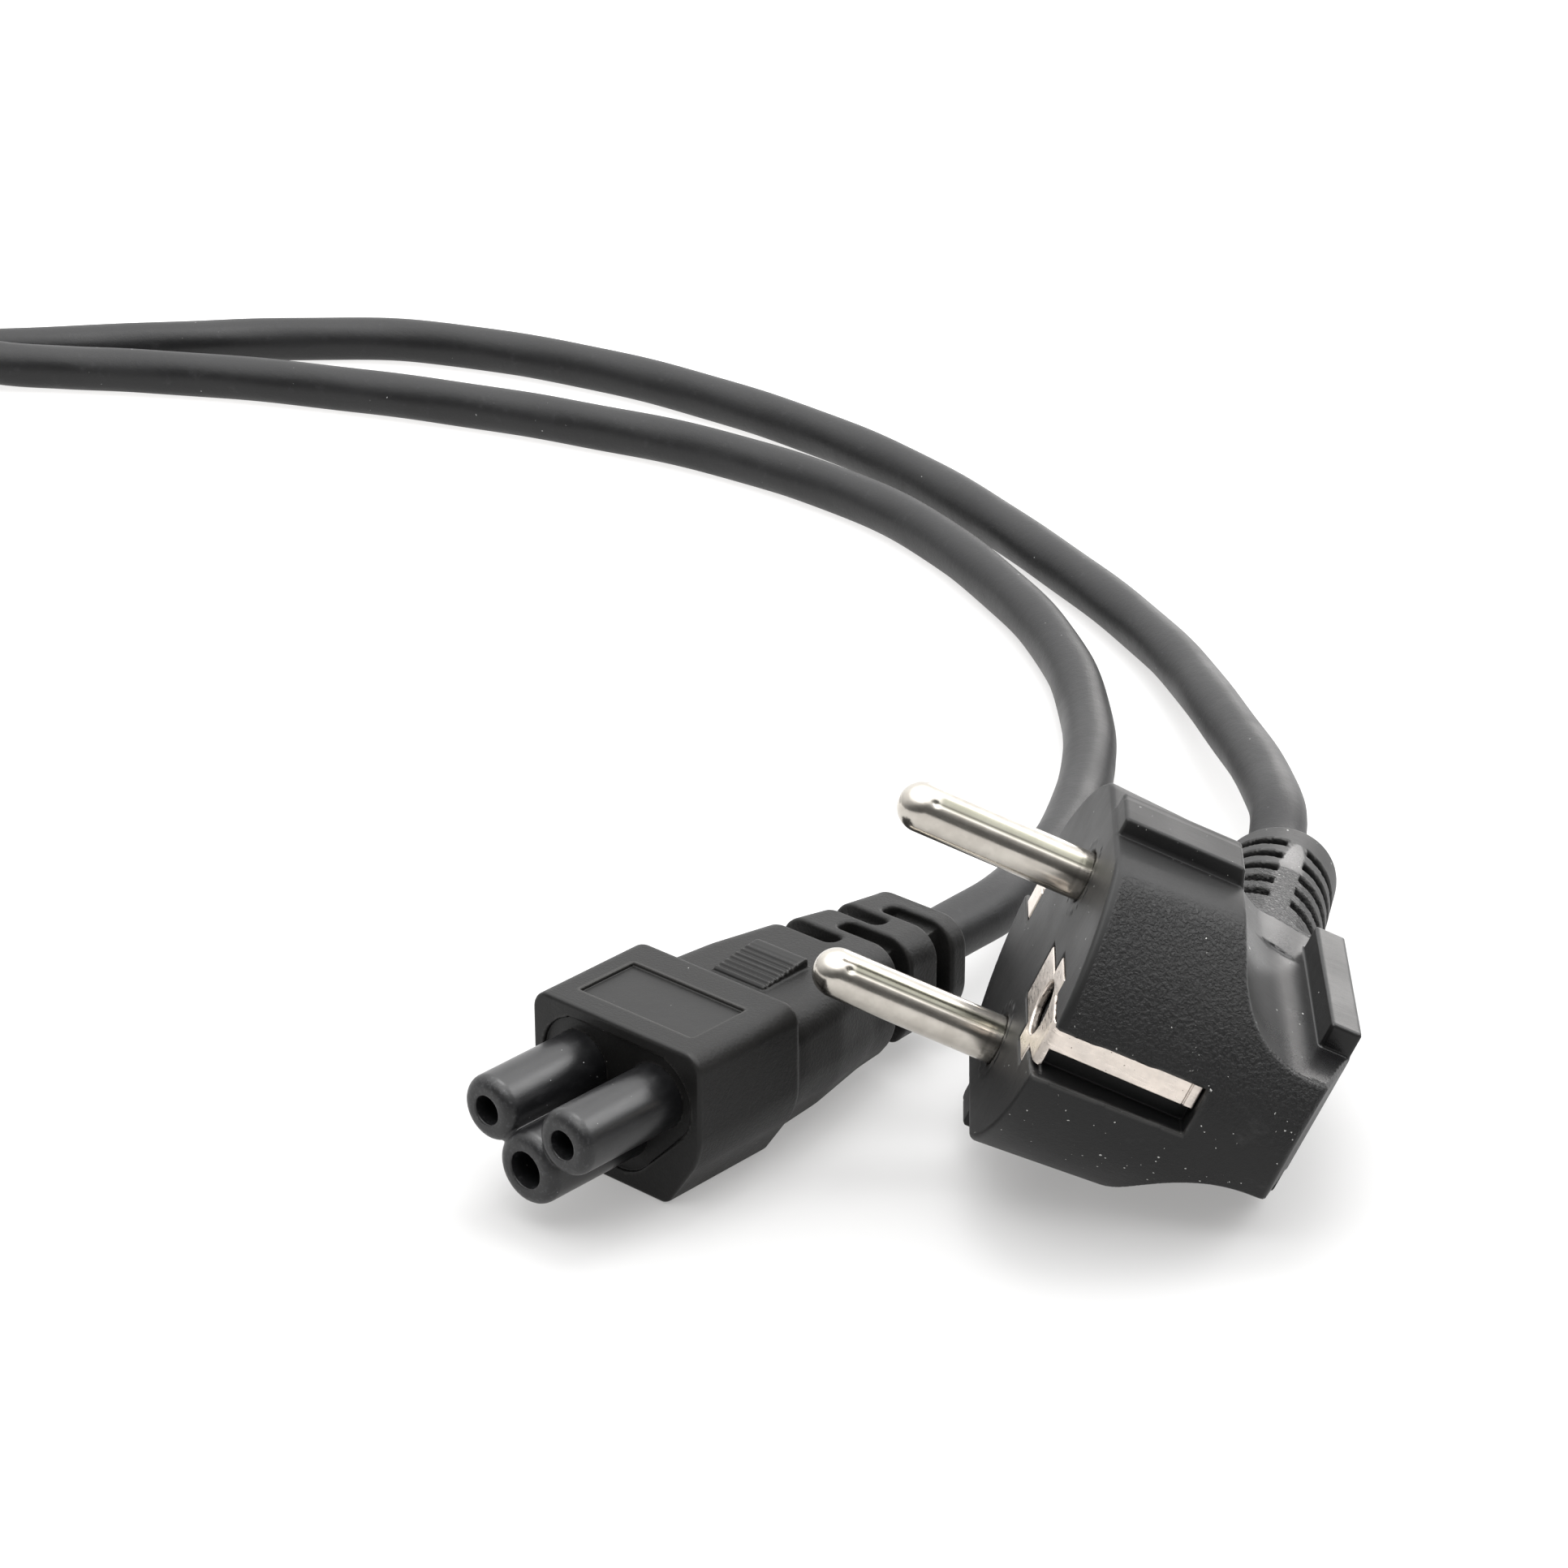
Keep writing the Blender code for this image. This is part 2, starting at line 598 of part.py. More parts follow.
# route of the cord over the floor, world frame, mm; the heights fall from the
# two mouldings to a cord lying on its radius, and the connector's strand then
# climbs over the plug's strand
PLUG_ROUTE = ((52.7, -29.5, 9.8), (52.6, -18.5, 8.8), (50.2, 2.0, 6.6), (45.6, 29.0, 4.0),
              (34.5, 58.0, 3.1), (15.5, 92.0, 3.1), (-7.0, 116.5, 3.1), (-30.5, 133.5, 3.1),
              (-54.0, 143.1, 3.1), (-71.0, 143.5, 3.1), (-86.0, 142.2, 3.1), (-99.0, 140.5, 3.1),
              (-112.0, 138.9, 3.1), (-125.0, 137.6, 3.1), (-138.0, 134.9, 3.1), (-150.0, 130.0, 3.1))
CON_ROUTE = ((22.3, -46.5, 8.2), (29.8, -27.5, 6.2), (34.0, -6.0, 4.6), (34.9, 9.0, 3.5),
             (33.8, 26.0, 3.1), (28.8, 45.5, 3.1), (14.5, 75.0, 3.1), (-6.0, 95.8, 3.1),
             (-29.0, 109.6, 3.1), (-52.0, 119.6, 3.1), (-75.0, 127.0, 3.1), (-90.0, 130.0, 3.1),
             (-101.0, 131.4, 3.2), (-112.0, 132.1, 3.9),
             (-125.0, 132.4, 8.0), (-138.0, 135.0, 10.4), (-150.0, 139.4, 9.9))

# coil of the stored length, beyond the left edge of the laid-out part
COIL_C = (-230.0, 134.6)
COIL_R = 31.0                   # middle of the turns
COIL_OUT_R = COIL_R + CORD_D    # outermost turn
COIL_HALF_W = 1.5 * CORD_D
# how far from the coil's middle a strand leaving it along the tangent stays clear
COIL_STOP = math.sqrt((COIL_R + COIL_HALF_W) ** 2 - (COIL_OUT_R - CORD_D / 2) ** 2) + 0.4
COIL_H = 2.0 * CORD_D + 0.2
SWING_SLOPE = 0.42               # sideways lean of a strand where its swing starts
TIE_W = 5.0
TIE_T = 1.0


def coil_profile(shrink=0.0):
    r0, r1 = COIL_R - COIL_HALF_W + shrink, COIL_R + COIL_HALF_W - shrink
    z0, z1 = shrink, COIL_H - shrink
    return round_corners([(r0, z0), (r1, z0), (r1, z1), (r0, z1)], (2.6,) * 4, 3)


def ring_point(r, z, a):
    return (COIL_C[0] - ORIGIN.x + r * math.cos(a), COIL_C[1] - ORIGIN.y + r * math.sin(a), z)


def sweep_ring(stations, closed=True):
    """Join profiles set at angles about the coil's axis; (angle, profile) pairs."""
    bm = bmesh.new()
    rings = [[bm.verts.new(ring_point(r, z, a)) for r, z in prof] for a, prof in stations]
    m = len(rings[0])
    pairs = list(zip(rings, rings[1:] + rings[:1])) if closed else list(zip(rings, rings[1:]))
    for a, b in pairs:
        for k in range(m):
            j = (k + 1) % m
            bm.faces.new((a[k], a[j], b[j], b[k]))
    return bm


def make_coil(mat):
    """Closed ring of the coil's outer shape, with a shallow waist for its tie."""
    half = (TIE_W / 2 + GAP) / (COIL_R + COIL_HALF_W)
    full, small = coil_profile(), coil_profile(TIE_T + GAP)
    n = 56
    stations = [(math.pi + half, full)]
    for k in range(1, n):
        stations.append((math.pi + half + (2 * math.pi - 2 * half) * k / n, full))
    stations += [(math.pi - half, full), (math.pi - half, small), (math.pi + half, small)]
    return add_object("cord_coil", sweep_ring(stations), mat)


def make_tie(mat):
    """Band around the bundle: outer and inner outlines swept over its width."""
    half = TIE_W / 2 / (COIL_R + COIL_HALF_W)
    outer, inner = coil_profile(), coil_profile(TIE_T)
    bm = bmesh.new()
    angles = [math.pi - half, math.pi, math.pi + half]
    go = [[bm.verts.new(ring_point(r, z, a)) for r, z in outer] for a in angles]
    gi = [[bm.verts.new(ring_point(r, z, a)) for r, z in inner] for a in angles]
    m = len(outer)
    for g, flip in ((go, False), (gi, True)):
        for a, b in zip(g, g[1:]):
            for k in range(m):
                j = (k + 1) % m
                f = (a[k], a[j], b[j], b[k])
                bm.faces.new(f[::-1] if flip else f)
    for k in range(m):
        j = (k + 1) % m
        bm.faces.new((go[0][k], gi[0][k], gi[0][j], go[0][j]))
        bm.faces.new((go[-1][j], gi[-1][j], gi[-1][k], go[-1][k]))
    return add_object("cord_tie", bm, mat)


def cord_ends():
    """Where the cord leaves the two mouldings, and which way, in mm."""
    pf, cf = plug_frame(), con_frame()
    a = pf @ Vector((0, BOOT_Y1 - 2.0 + 0.8, BOOT_Z1)) / MM
    a1 = pf @ Vector((0, BOOT_Y1 - 8.0, BOOT_Z1 - 0.6)) / MM
    b = cf @ Vector((CORD_S, CORD_L, CORD_Z)) / MM
    b1 = cf @ Vector((CORD_S, CORD_L + 8.0, CORD_Z)) / MM
    return a, a1, b, b1


def coil_approach(p, side, z_end, n=5):
    """Swing from point p to the tangent of the outermost turn: a cubic that
    leaves p already turning that way and arrives along the coil's side."""
    x1, y1 = COIL_C[0] + COIL_STOP, COIL_C[1] + side * COIL_OUT_R
    out = []
    for k in range(1, n + 1):
        t = k / n
        w = t * t * (3 - 2 * t)
        y = p[1] + (y1 - p[1]) * w + side * SWING_SLOPE * (p[0] - x1) * t * (1 - t) ** 2
        out.append((p[0] + (x1 - p[0]) * t, y, p[2] + (z_end - p[2]) * w))
    return tuple(out)


def route_plug():
    a, a1, _, _ = cord_ends()
    return [a, a1] + laid(PLUG_ROUTE + coil_approach(PLUG_ROUTE[-1], -1, CORD_D / 2))


def route_connector():
    _, _, b, b1 = cord_ends()
    return [b, b1] + laid(CON_ROUTE + coil_approach(CON_ROUTE[-1], 1, 1.5 * CORD_D))


def make_cords(mat):
    for name, ctrl in (("cord_plug_side", route_plug()), ("cord_connector_side", route_connector())):
        pts = resample(smooth_path(ctrl), 2.4 * CORD_D)
        tube_curve(name, pts, CORD_D / 2, mat)


def main():
    clear_scene()
    black = material("black_pvc", (0.030, 0.030, 0.032), 0.45)
    insert = material("black_insert", (0.022, 0.022, 0.024), 0.28)
    cordmat = material("black_cord", (0.035, 0.035, 0.037), 0.40)
    nickel = material("nickel_plate", (0.80, 0.77, 0.72), 0.22, 1.0)
    steel = material("earth_metal", (0.74, 0.70, 0.66), 0.30, 1.0)
    brass = material("contact_brass", (0.72, 0.55, 0.28), 0.35, 1.0)

    pf, cf = plug_frame(), con_frame()
    for ob in (make_plug(black), make_pin("line_pin", -1, nickel), make_pin("neutral_pin", 1, nickel),
               make_earth_contact(steel), make_earth_strip(steel)):
        place(ob, pf)
    for ob in (make_connector(black), make_insert(insert),
               make_sleeve("contact_line", -TUBE_DX, TUBE_Z, BORE_R, brass),
               make_sleeve("contact_neutral", TUBE_DX, TUBE_Z, BORE_R, brass),
               make_sleeve("contact_earth", 0.0, EARTH_TUBE_Z, EARTH_BORE_R, brass)):
        place(ob, cf)
    world = Matrix.Scale(MM, 4)
    for ob in (make_coil(cordmat), make_tie(black)):
        place(ob, world)
    make_cords(cordmat)


main()
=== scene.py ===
import math

import bpy
import numpy as np
from mathutils import Matrix, Vector


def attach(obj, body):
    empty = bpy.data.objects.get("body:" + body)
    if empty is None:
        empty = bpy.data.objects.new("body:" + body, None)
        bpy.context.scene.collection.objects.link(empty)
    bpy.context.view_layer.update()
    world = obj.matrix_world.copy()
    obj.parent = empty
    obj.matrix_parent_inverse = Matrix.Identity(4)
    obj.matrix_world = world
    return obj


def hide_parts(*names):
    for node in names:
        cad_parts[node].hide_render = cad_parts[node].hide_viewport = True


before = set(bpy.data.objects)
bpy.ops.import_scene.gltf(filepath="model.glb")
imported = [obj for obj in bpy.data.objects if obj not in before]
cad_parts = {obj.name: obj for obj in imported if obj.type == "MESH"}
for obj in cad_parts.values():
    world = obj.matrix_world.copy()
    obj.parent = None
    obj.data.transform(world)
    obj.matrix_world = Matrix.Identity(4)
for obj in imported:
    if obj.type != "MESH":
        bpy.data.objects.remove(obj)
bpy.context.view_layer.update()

MM = 0.001
SCN = bpy.context.scene
COL = SCN.collection

# ----------------------------------------------------------------- dimensions, mm
PIN_D, PIN_LEN, PIN_PITCH, PIN_SEAT = 4.8, 19.0, 19.0, 8.0
FACE_RX, FACE_RY, TAPER, BODY_DEPTH = 17.9, 19.2, 1.65, 28.6
WEB_X, SADDLE_R, SADDLE_Z, SADDLE_SLOPE = 6.5, 10.2, -24.0, 0.42
KEY_X, KEY_RIB_X, KEY_HALF = 15.95, 17.75, 3.0
BACK_BREAK_Y, BACK_END_Y, BACK_END_Z = 8.0, 17.6, -25.2
RAIL_X, RAIL_Y0, RAIL_Y1, RAIL_Z = 9.2, -12.5, 8.2, -25.4
BOOT_Y0, BOOT_Y1, BOOT_Z0, BOOT_Z1, BOOT_R0, BOOT_R1 = -9.0, -41.5, -20.8, -27.8, 7.0, 6.3
BOOT_SLOTS, BOOT_SLOT_W, BOOT_SLOT_PITCH, BOOT_SLOT_Y = 5, 1.9, 3.8, -21.6
EARTH_HOLE_D, EARTH_HOLE_Y, EARTH_HOLE_DEPTH = 5.2, 10.0, 16.0
PLATE_T, STRIP_Y, STRIP_LEN = 0.8, 17.2, 15.2
GAP = 0.3

HEAD_W, HEAD_H, HEAD_L0, HEAD_L = 21.6, 17.1, -0.9, 13.4
NECK_Z, HEAD_CH_W, HEAD_CH_H = 14.95, 4.4, 6.4
TUBE_DX, TUBE_Z, EARTH_TUBE_Z, TUBE_R, EARTH_TUBE_R, TUBE_OUT = 4.9, 11.0, 6.5, 3.3, 3.7, 13.1
BORE_R, EARTH_BORE_R = 1.45, 1.85
POCKET_DEPTH, POCKET_WALL = 1.6, 0.7
RELIEF_SLOTS, RELIEF_SLOT_W = ((-1, 29.3), (1, 32.8), (-1, 36.0), (1, 39.3)), 2.2
WEDGE_L0, WEDGE_L1, WEDGE_Z0, WEDGE_Z1, WEDGE_RIDGES, WEDGE_HALF = 16.2, 22.8, 15.1, 15.95, 9, 3.3

CORD_D, CORD_S, CORD_Z, CORD_L = 6.2, 0.4, 8.4, 41.0

ORIGIN = Vector((13.769, -73.432, 0.0))
PLUG_T = Vector((24.07, -84.63, 21.36))
PLUG_X = Vector((-0.411, 0.003, -0.912))
PLUG_Z = Vector((-0.911, 0.039, 0.411))
CON_T = Vector((-15.28, -88.85, 0.0))
CON_YAW = math.radians(48.16)


def plug_frame():
    z = PLUG_Z.normalized()
    x = (PLUG_X - z * PLUG_X.dot(z)).normalized()
    m = Matrix((x, z.cross(x), z)).transposed().to_4x4()
    m.translation = (PLUG_T - ORIGIN) * MM
    return m


def con_frame():
    c, s = math.cos(CON_YAW), math.sin(CON_YAW)
    m = Matrix(((s, c, 0.0), (-c, s, 0.0), (0.0, 0.0, 1.0))).to_4x4()
    m.translation = (CON_T - ORIGIN) * MM
    return m


PF, CF = plug_frame(), con_frame()


# ----------------------------------------------------------------- distance field tools
def join_r(a, b, r):
    """Union with a concave fillet of radius r."""
    return np.maximum(r, np.minimum(a, b)) - np.hypot(np.maximum(r - a, 0), np.maximum(r - b, 0))


def both_r(a, b, r):
    """Intersection with a rounded edge of radius r."""
    return np.minimum(-r, np.maximum(a, b)) + np.hypot(np.maximum(r + a, 0), np.maximum(r + b, 0))


def less_r(a, b, r):
    return both_r(a, -b, r)


def box2(x, y, hx, hy, r):
    """Rectangle of half sizes hx, hy about the origin, corners of radius r."""
    dx, dy = np.abs(x) - hx + r, np.abs(y) - hy + r
    return np.hypot(np.maximum(dx, 0), np.maximum(dy, 0)) + np.minimum(np.maximum(dx, dy), 0) - r


def poly2(x, y, pts):
    """Signed distance to a polygon."""
    d = np.full(np.broadcast(x, y).shape, 1e9)
    inside = np.zeros(d.shape, bool)
    n = len(pts)
    for i in range(n):
        ax, ay = pts[i]
        bx, by = pts[(i + 1) % n]
        ex, ey = bx - ax, by - ay
        t = np.clip(((x - ax) * ex + (y - ay) * ey) / (ex * ex + ey * ey), 0, 1)
        d = np.minimum(d, (x - ax - ex * t) ** 2 + (y - ay - ey * t) ** 2)
        if ay != by:
            hit = ((ay > y) != (by > y)) & (x < (bx - ax) * (y - ay) / (by - ay) + ax)
            inside ^= hit
    return np.where(inside, -1.0, 1.0) * np.sqrt(d)


def gradient(f, p, e=0.02):
    g = np.empty_like(p)
    for k in range(3):
        q = p.copy()
        q[:, k] += e
        w = p.copy()
        w[:, k] -= e
        g[:, k] = (f(q[:, 0], q[:, 1], q[:, 2]) - f(w[:, 0], w[:, 1], w[:, 2])) / (2 * e)
    return g


def net(f, lo, hi, h):
    """Quad mesh of the surface f = 0: one vertex in each crossed cell of a grid of
    pitch h, moved onto the surface, one quad for each crossed grid edge."""
    ax = [np.arange(lo[k], hi[k] + h, h) for k in range(3)]
    shape = tuple(len(a) for a in ax)
    v = np.empty(shape, np.float32)
    slab = 16
    for i in range(0, shape[0], slab):
        x = ax[0][i:i + slab, None, None]
        v[i:i + slab] = f(np.broadcast_to(x, (x.shape[0], shape[1], shape[2])),
                          np.broadcast_to(ax[1][None, :, None], (x.shape[0], shape[1], shape[2])),
                          np.broadcast_to(ax[2][None, None, :], (x.shape[0], shape[1], shape[2])))
    v[v == 0] = 1e-6
    cells = tuple(s - 1 for s in shape)
    acc = np.zeros(cells + (3,), np.float32)
    cnt = np.zeros(cells, np.int16)
    crossed = []
    for k in range(3):
        lo_s = [slice(None)] * 3
        hi_s = [slice(None)] * 3
        lo_s[k], hi_s[k] = slice(0, -1), slice(1, None)
        a, b = v[tuple(lo_s)], v[tuple(hi_s)]
        idx = np.argwhere((a < 0) != (b < 0))
        va, vb = a[tuple(idx.T)], b[tuple(idx.T)]
        pos = idx.astype(np.float32)
        pos[:, k] += va / (va - vb)
        o = [j for j in range(3) if j != k]
        quad = []
        ok = np.ones(len(idx), bool)
        for da, db in ((0, 0), (1, 0), (1, 1), (0, 1)):
            c = idx.copy()
            c[:, o[0]] -= da
            c[:, o[1]] -= db
            ok &= (c[:, o[0]] >= 0) & (c[:, o[1]] >= 0) & (c[:, o[0]] < cells[o[0]]) & (c[:, o[1]] < cells[o[1]])
            quad.append(c)
        for c in quad:
            t = tuple(c[ok].T)
            np.add.at(cnt, t, 1)
            for j in range(3):
                np.add.at(acc[..., j], t, pos[ok, j])
        crossed.append((k, [c[ok] for c in quad], (va < 0)[ok]))
    used = np.argwhere(cnt > 0)
    ids = np.full(cells, -1, np.int64)
    ids[tuple(used.T)] = np.arange(len(used))
    p = acc[tuple(used.T)] / cnt[tuple(used.T)][:, None]
    p = p.astype(float) * h + np.array([a[0] for a in ax])
    faces = []
    for k, quad, neg in crossed:
        q = np.stack([ids[tuple(c.T)] for c in quad], 1)
        flip = ~neg if k != 1 else neg
        q[flip] = q[flip][:, ::-1]
        faces.append(q)
    faces = np.concatenate(faces)
    for _ in range(4):
        g = gradient(f, p)
        d = f(p[:, 0], p[:, 1], p[:, 2])
        step = g * (d / np.maximum((g * g).sum(1), 0.25))[:, None]
        size = np.linalg.norm(step, axis=1)
        step *= np.minimum(1.0, 0.4 * h / np.maximum(size, 1e-9))[:, None]
        p -= step
    n = gradient(f, p)
    n /= np.maximum(np.linalg.norm(n, axis=1), 1e-9)[:, None]
    return p, faces, n


def local_attr(me, p):
    """Keeps each point's place in the piece's own frame, in millimetres, for its textures."""
    a = me.attributes.new("local", "FLOAT_VECTOR", "POINT")
    a.data.foreach_set("vector", np.asarray(p, np.float32).ravel())


def mesh_piece(name, p, faces, place, normals=None, mats=(), attrs=None):
    """A piece from arrays in millimetres of its own frame, which place puts in the common frame."""
    me = bpy.data.meshes.new(name)
    m4 = np.array(place, float)
    world = p * MM @ m4[:3, :3].T + m4[:3, 3]
    if normals is not None:
        normals = normals @ m4[:3, :3].T
    me.vertices.add(len(p))
    me.vertices.foreach_set("co", world.astype(np.float32).ravel())
    m = faces.shape[1]
    me.loops.add(faces.size)
    me.loops.foreach_set("vertex_index", faces.astype(np.int32).ravel())
    me.polygons.add(len(faces))
    me.polygons.foreach_set("loop_start", np.arange(0, faces.size, m, dtype=np.int32))
    me.update(calc_edges=True)
    me.validate()
    me.shade_smooth()
    if normals is not None:
        me.normals_split_custom_set_from_vertices([tuple(x) for x in normals])
    for key, val in (attrs or {}).items():
        a = me.attributes.new(key, "FLOAT", "POINT")
        a.data.foreach_set("value", np.asarray(val, np.float32))
    local_attr(me, p)
    for mt in mats:
        me.materials.append(mt)
    ob = bpy.data.objects.new(name, me)
    COL.objects.link(ob)
    return ob


def field_piece(name, f, lo, hi, h, place, mats, attrs=None):
    p, faces, n = net(f, lo, hi, h)
    extra = attrs(p, n) if attrs else None
    return mesh_piece(name, p, faces, place, n, mats, extra)


def smooth(e0, e1, x):
    t = np.clip((x - e0) / (e1 - e0), 0, 1)
    return t * t * (3 - 2 * t)


# ----------------------------------------------------------------- node helper
class Nodes:
    """Small helper for building a material's node tree."""

    def __init__(self, name, own=True):
        self.mat = bpy.data.materials.new(name)
        self.mat.use_nodes = True
        self.t = self.mat.node_tree
        self.bsdf = self.t.nodes["Principled BSDF"]
        if own:
            co = self.t.nodes.new("ShaderNodeAttribute")
            co.attribute_name = "local"
            self.mm = co.outputs["Vector"]
        else:
            co = self.t.nodes.new("ShaderNodeTexCoord")
            sc = self.t.nodes.new("ShaderNodeVectorMath")
            sc.operation = "SCALE"
            sc.inputs["Scale"].default_value = 1000.0
            self.t.links.new(co.outputs["Object"], sc.inputs[0])
            self.mm = sc.outputs["Vector"]

    def put(self, sock, val):
        if isinstance(val, bpy.types.NodeSocket):
            self.t.links.new(val, sock)
        elif isinstance(val, (tuple, list)) and len(val) == 3 and sock.type == "RGBA":
            sock.default_value = (*val, 1.0)
        else:
            sock.default_value = val

    def math(self, op, a, b=0.0, c=0.0, clamp=False):
        n = self.t.nodes.new("ShaderNodeMath")
        n.operation = op
        n.use_clamp = clamp
        for s, v in zip(n.inputs, (a, b, c)):
            self.put(s, v)
        return n.outputs[0]

    def vec(self, op, a, b=(0, 0, 0)):
        n = self.t.nodes.new("ShaderNodeVectorMath")
        n.operation = op
        self.put(n.inputs[0], a)
        self.put(n.inputs[1], b)
        return n.outputs[0]

    def scaled(self, v, s):
        n = self.t.nodes.new("ShaderNodeVectorMath")
        n.operation = "MULTIPLY"
        self.put(n.inputs[0], v)
        n.inputs[1].default_value = s
        return n.outputs[0]

    def noise(self, scale, detail=2.0, rough=0.5, vec=None, dist=0.0, color=False):
        n = self.t.nodes.new("ShaderNodeTexNoise")
        n.inputs["Scale"].default_value = scale
        n.inputs["Detail"].default_value = detail
        n.inputs["Roughness"].default_value = rough
        n.inputs["Distortion"].default_value = dist
        self.put(n.inputs["Vector"], vec if vec is not None else self.mm)
        return n.outputs["Color" if color else "Fac"]

    def voronoi(self, scale, feature="F1", vec=None, rand=1.0, smoothness=None):
        n = self.t.nodes.new("ShaderNodeTexVoronoi")
        n.feature = feature
        n.inputs["Scale"].default_value = scale
        n.inputs["Randomness"].default_value = rand
        if smoothness is not None:
            n.inputs["Smoothness"].default_value = smoothness
        self.put(n.inputs["Vector"], vec if vec is not None else self.mm)
        return n

    def ramp(self, x, a, b, lo=0.0, hi=1.0, kind="SMOOTHSTEP"):
        n = self.t.nodes.new("ShaderNodeMapRange")
        n.interpolation_type = kind
        self.put(n.inputs["Value"], x)
        for k, v in (("From Min", a), ("From Max", b), ("To Min", lo), ("To Max", hi)):
            self.put(n.inputs[k], v)
        return n.outputs[0]

    def mix(self, f, a, b):
        n = self.t.nodes.new("ShaderNodeMix")
        n.data_type = "RGBA"
        self.put(n.inputs[0], f)
        self.put(n.inputs[6], a)
        self.put(n.inputs[7], b)
        return n.outputs[2]

    def attr(self, name):
        n = self.t.nodes.new("ShaderNodeAttribute")
        n.attribute_name = name
        return n.outputs["Fac"]

    def xyz(self, v=None):
        n = self.t.nodes.new("ShaderNodeSeparateXYZ")
        self.put(n.inputs[0], v if v is not None else self.mm)
        return n.outputs

    def bump(self, height, dist_mm, strength=1.0, normal=None):
        n = self.t.nodes.new("ShaderNodeBump")
        n.inputs["Strength"].default_value = strength
        n.inputs["Distance"].default_value = dist_mm * MM
        self.put(n.inputs["Height"], height)
        if normal is not None:
            self.put(n.inputs["Normal"], normal)
        return n.outputs[0]

    def specks(self, scale, size, share, mask=None, vec=None):
        """Small irregular flecks: in a share of the cells, a dot of radius size (cell units)."""
        w = self.noise(scale * 3.1, 2.0, 0.6, color=True, vec=vec)
        base = vec if vec is not None else self.mm
        off = self.scaled(self.vec("SUBTRACT", w, (0.5, 0.5, 0.5)), (0.55 / scale,) * 3)
        v = self.voronoi(scale, vec=self.vec("ADD", base, off))
        sep = self.t.nodes.new("ShaderNodeSeparateColor")
        self.put(sep.inputs[0], v.outputs["Color"])
        r = self.math("MULTIPLY", sep.outputs[1], size)
        dot = self.math("LESS_THAN", v.outputs["Distance"], r)
        if mask is not None:
            share = self.math("MULTIPLY", mask, share)
        pick = self.math("LESS_THAN", sep.outputs[0], share)
        return self.math("MULTIPLY", dot, pick)

    def set(self, name, val):
        self.put(self.bsdf.inputs[name], val)


# ----------------------------------------------------------------- materials
def plug_material():
    """Soft PVC with a wrinkled leather grain on the sides, smooth elsewhere, dust on the lower side."""
    m = Nodes("plug_pvc")
    grain = m.attr("grain")
    dust = m.attr("dust")
    edge = m.attr("edge")
    n1 = m.noise(2.5, 3.0, 0.62, dist=0.4)
    n2 = m.noise(0.12, 3.0, 0.5)
    fine = m.noise(9.0, 2.0, 0.6)
    smear = m.noise(0.35, 4.0, 0.65, vec=m.scaled(m.mm, (1.0, 2.2, 0.6)))
    base = m.mix(m.ramp(n2, 0.3, 0.7), (0.0048, 0.0048, 0.0050), (0.0078, 0.0077, 0.0076))
    base = m.mix(m.math("MULTIPLY", edge, 0.30), base, (0.10, 0.098, 0.094))
    film = m.math("MULTIPLY", m.ramp(smear, 0.56, 0.78), m.math("MULTIPLY", dust, 0.10))
    base = m.mix(film, base, (0.20, 0.20, 0.20))
    clump = m.ramp(m.noise(0.22, 2.0, 0.6), 0.46, 0.68, 0.12, 1.6)
    d1 = m.specks(1.05, 0.18, 0.30, m.math("MULTIPLY", dust, clump))
    d2 = m.specks(2.3, 0.22, 0.30, m.math("ADD", m.math("MULTIPLY", dust, clump), 0.04))
    d3 = m.specks(3.2, 0.20, 0.10, m.attr("lint"))
    spots = m.math("MAXIMUM", m.math("MAXIMUM", d1, d2), d3)
    base = m.mix(m.math("MULTIPLY", spots, 0.75), base, (0.62, 0.62, 0.60))
    m.set("Base Color", base)
    rough = m.ramp(n2, 0.25, 0.75, 0.40, 0.50)
    rough = m.math("ADD", rough, m.math("MULTIPLY", fine, 0.10))
    rough = m.math("SUBTRACT", rough, m.math("MULTIPLY", m.attr("gloss"), 0.19))
    rough = m.math("ADD", rough, m.math("MULTIPLY", spots, 0.3), clamp=True)
    m.set("Roughness", rough)
    m.set("Specular IOR Level", 0.28)
    leather = m.math("MULTIPLY", m.ramp(n1, 0.34, 0.66), grain)
    nrm = m.bump(leather, 0.13, 1.0)
    nrm = m.bump(fine, 0.012, 1.0, nrm)
    nrm = m.bump(smear, 0.03, 0.8, nrm)
    m.set("Normal", nrm)
    return m.mat


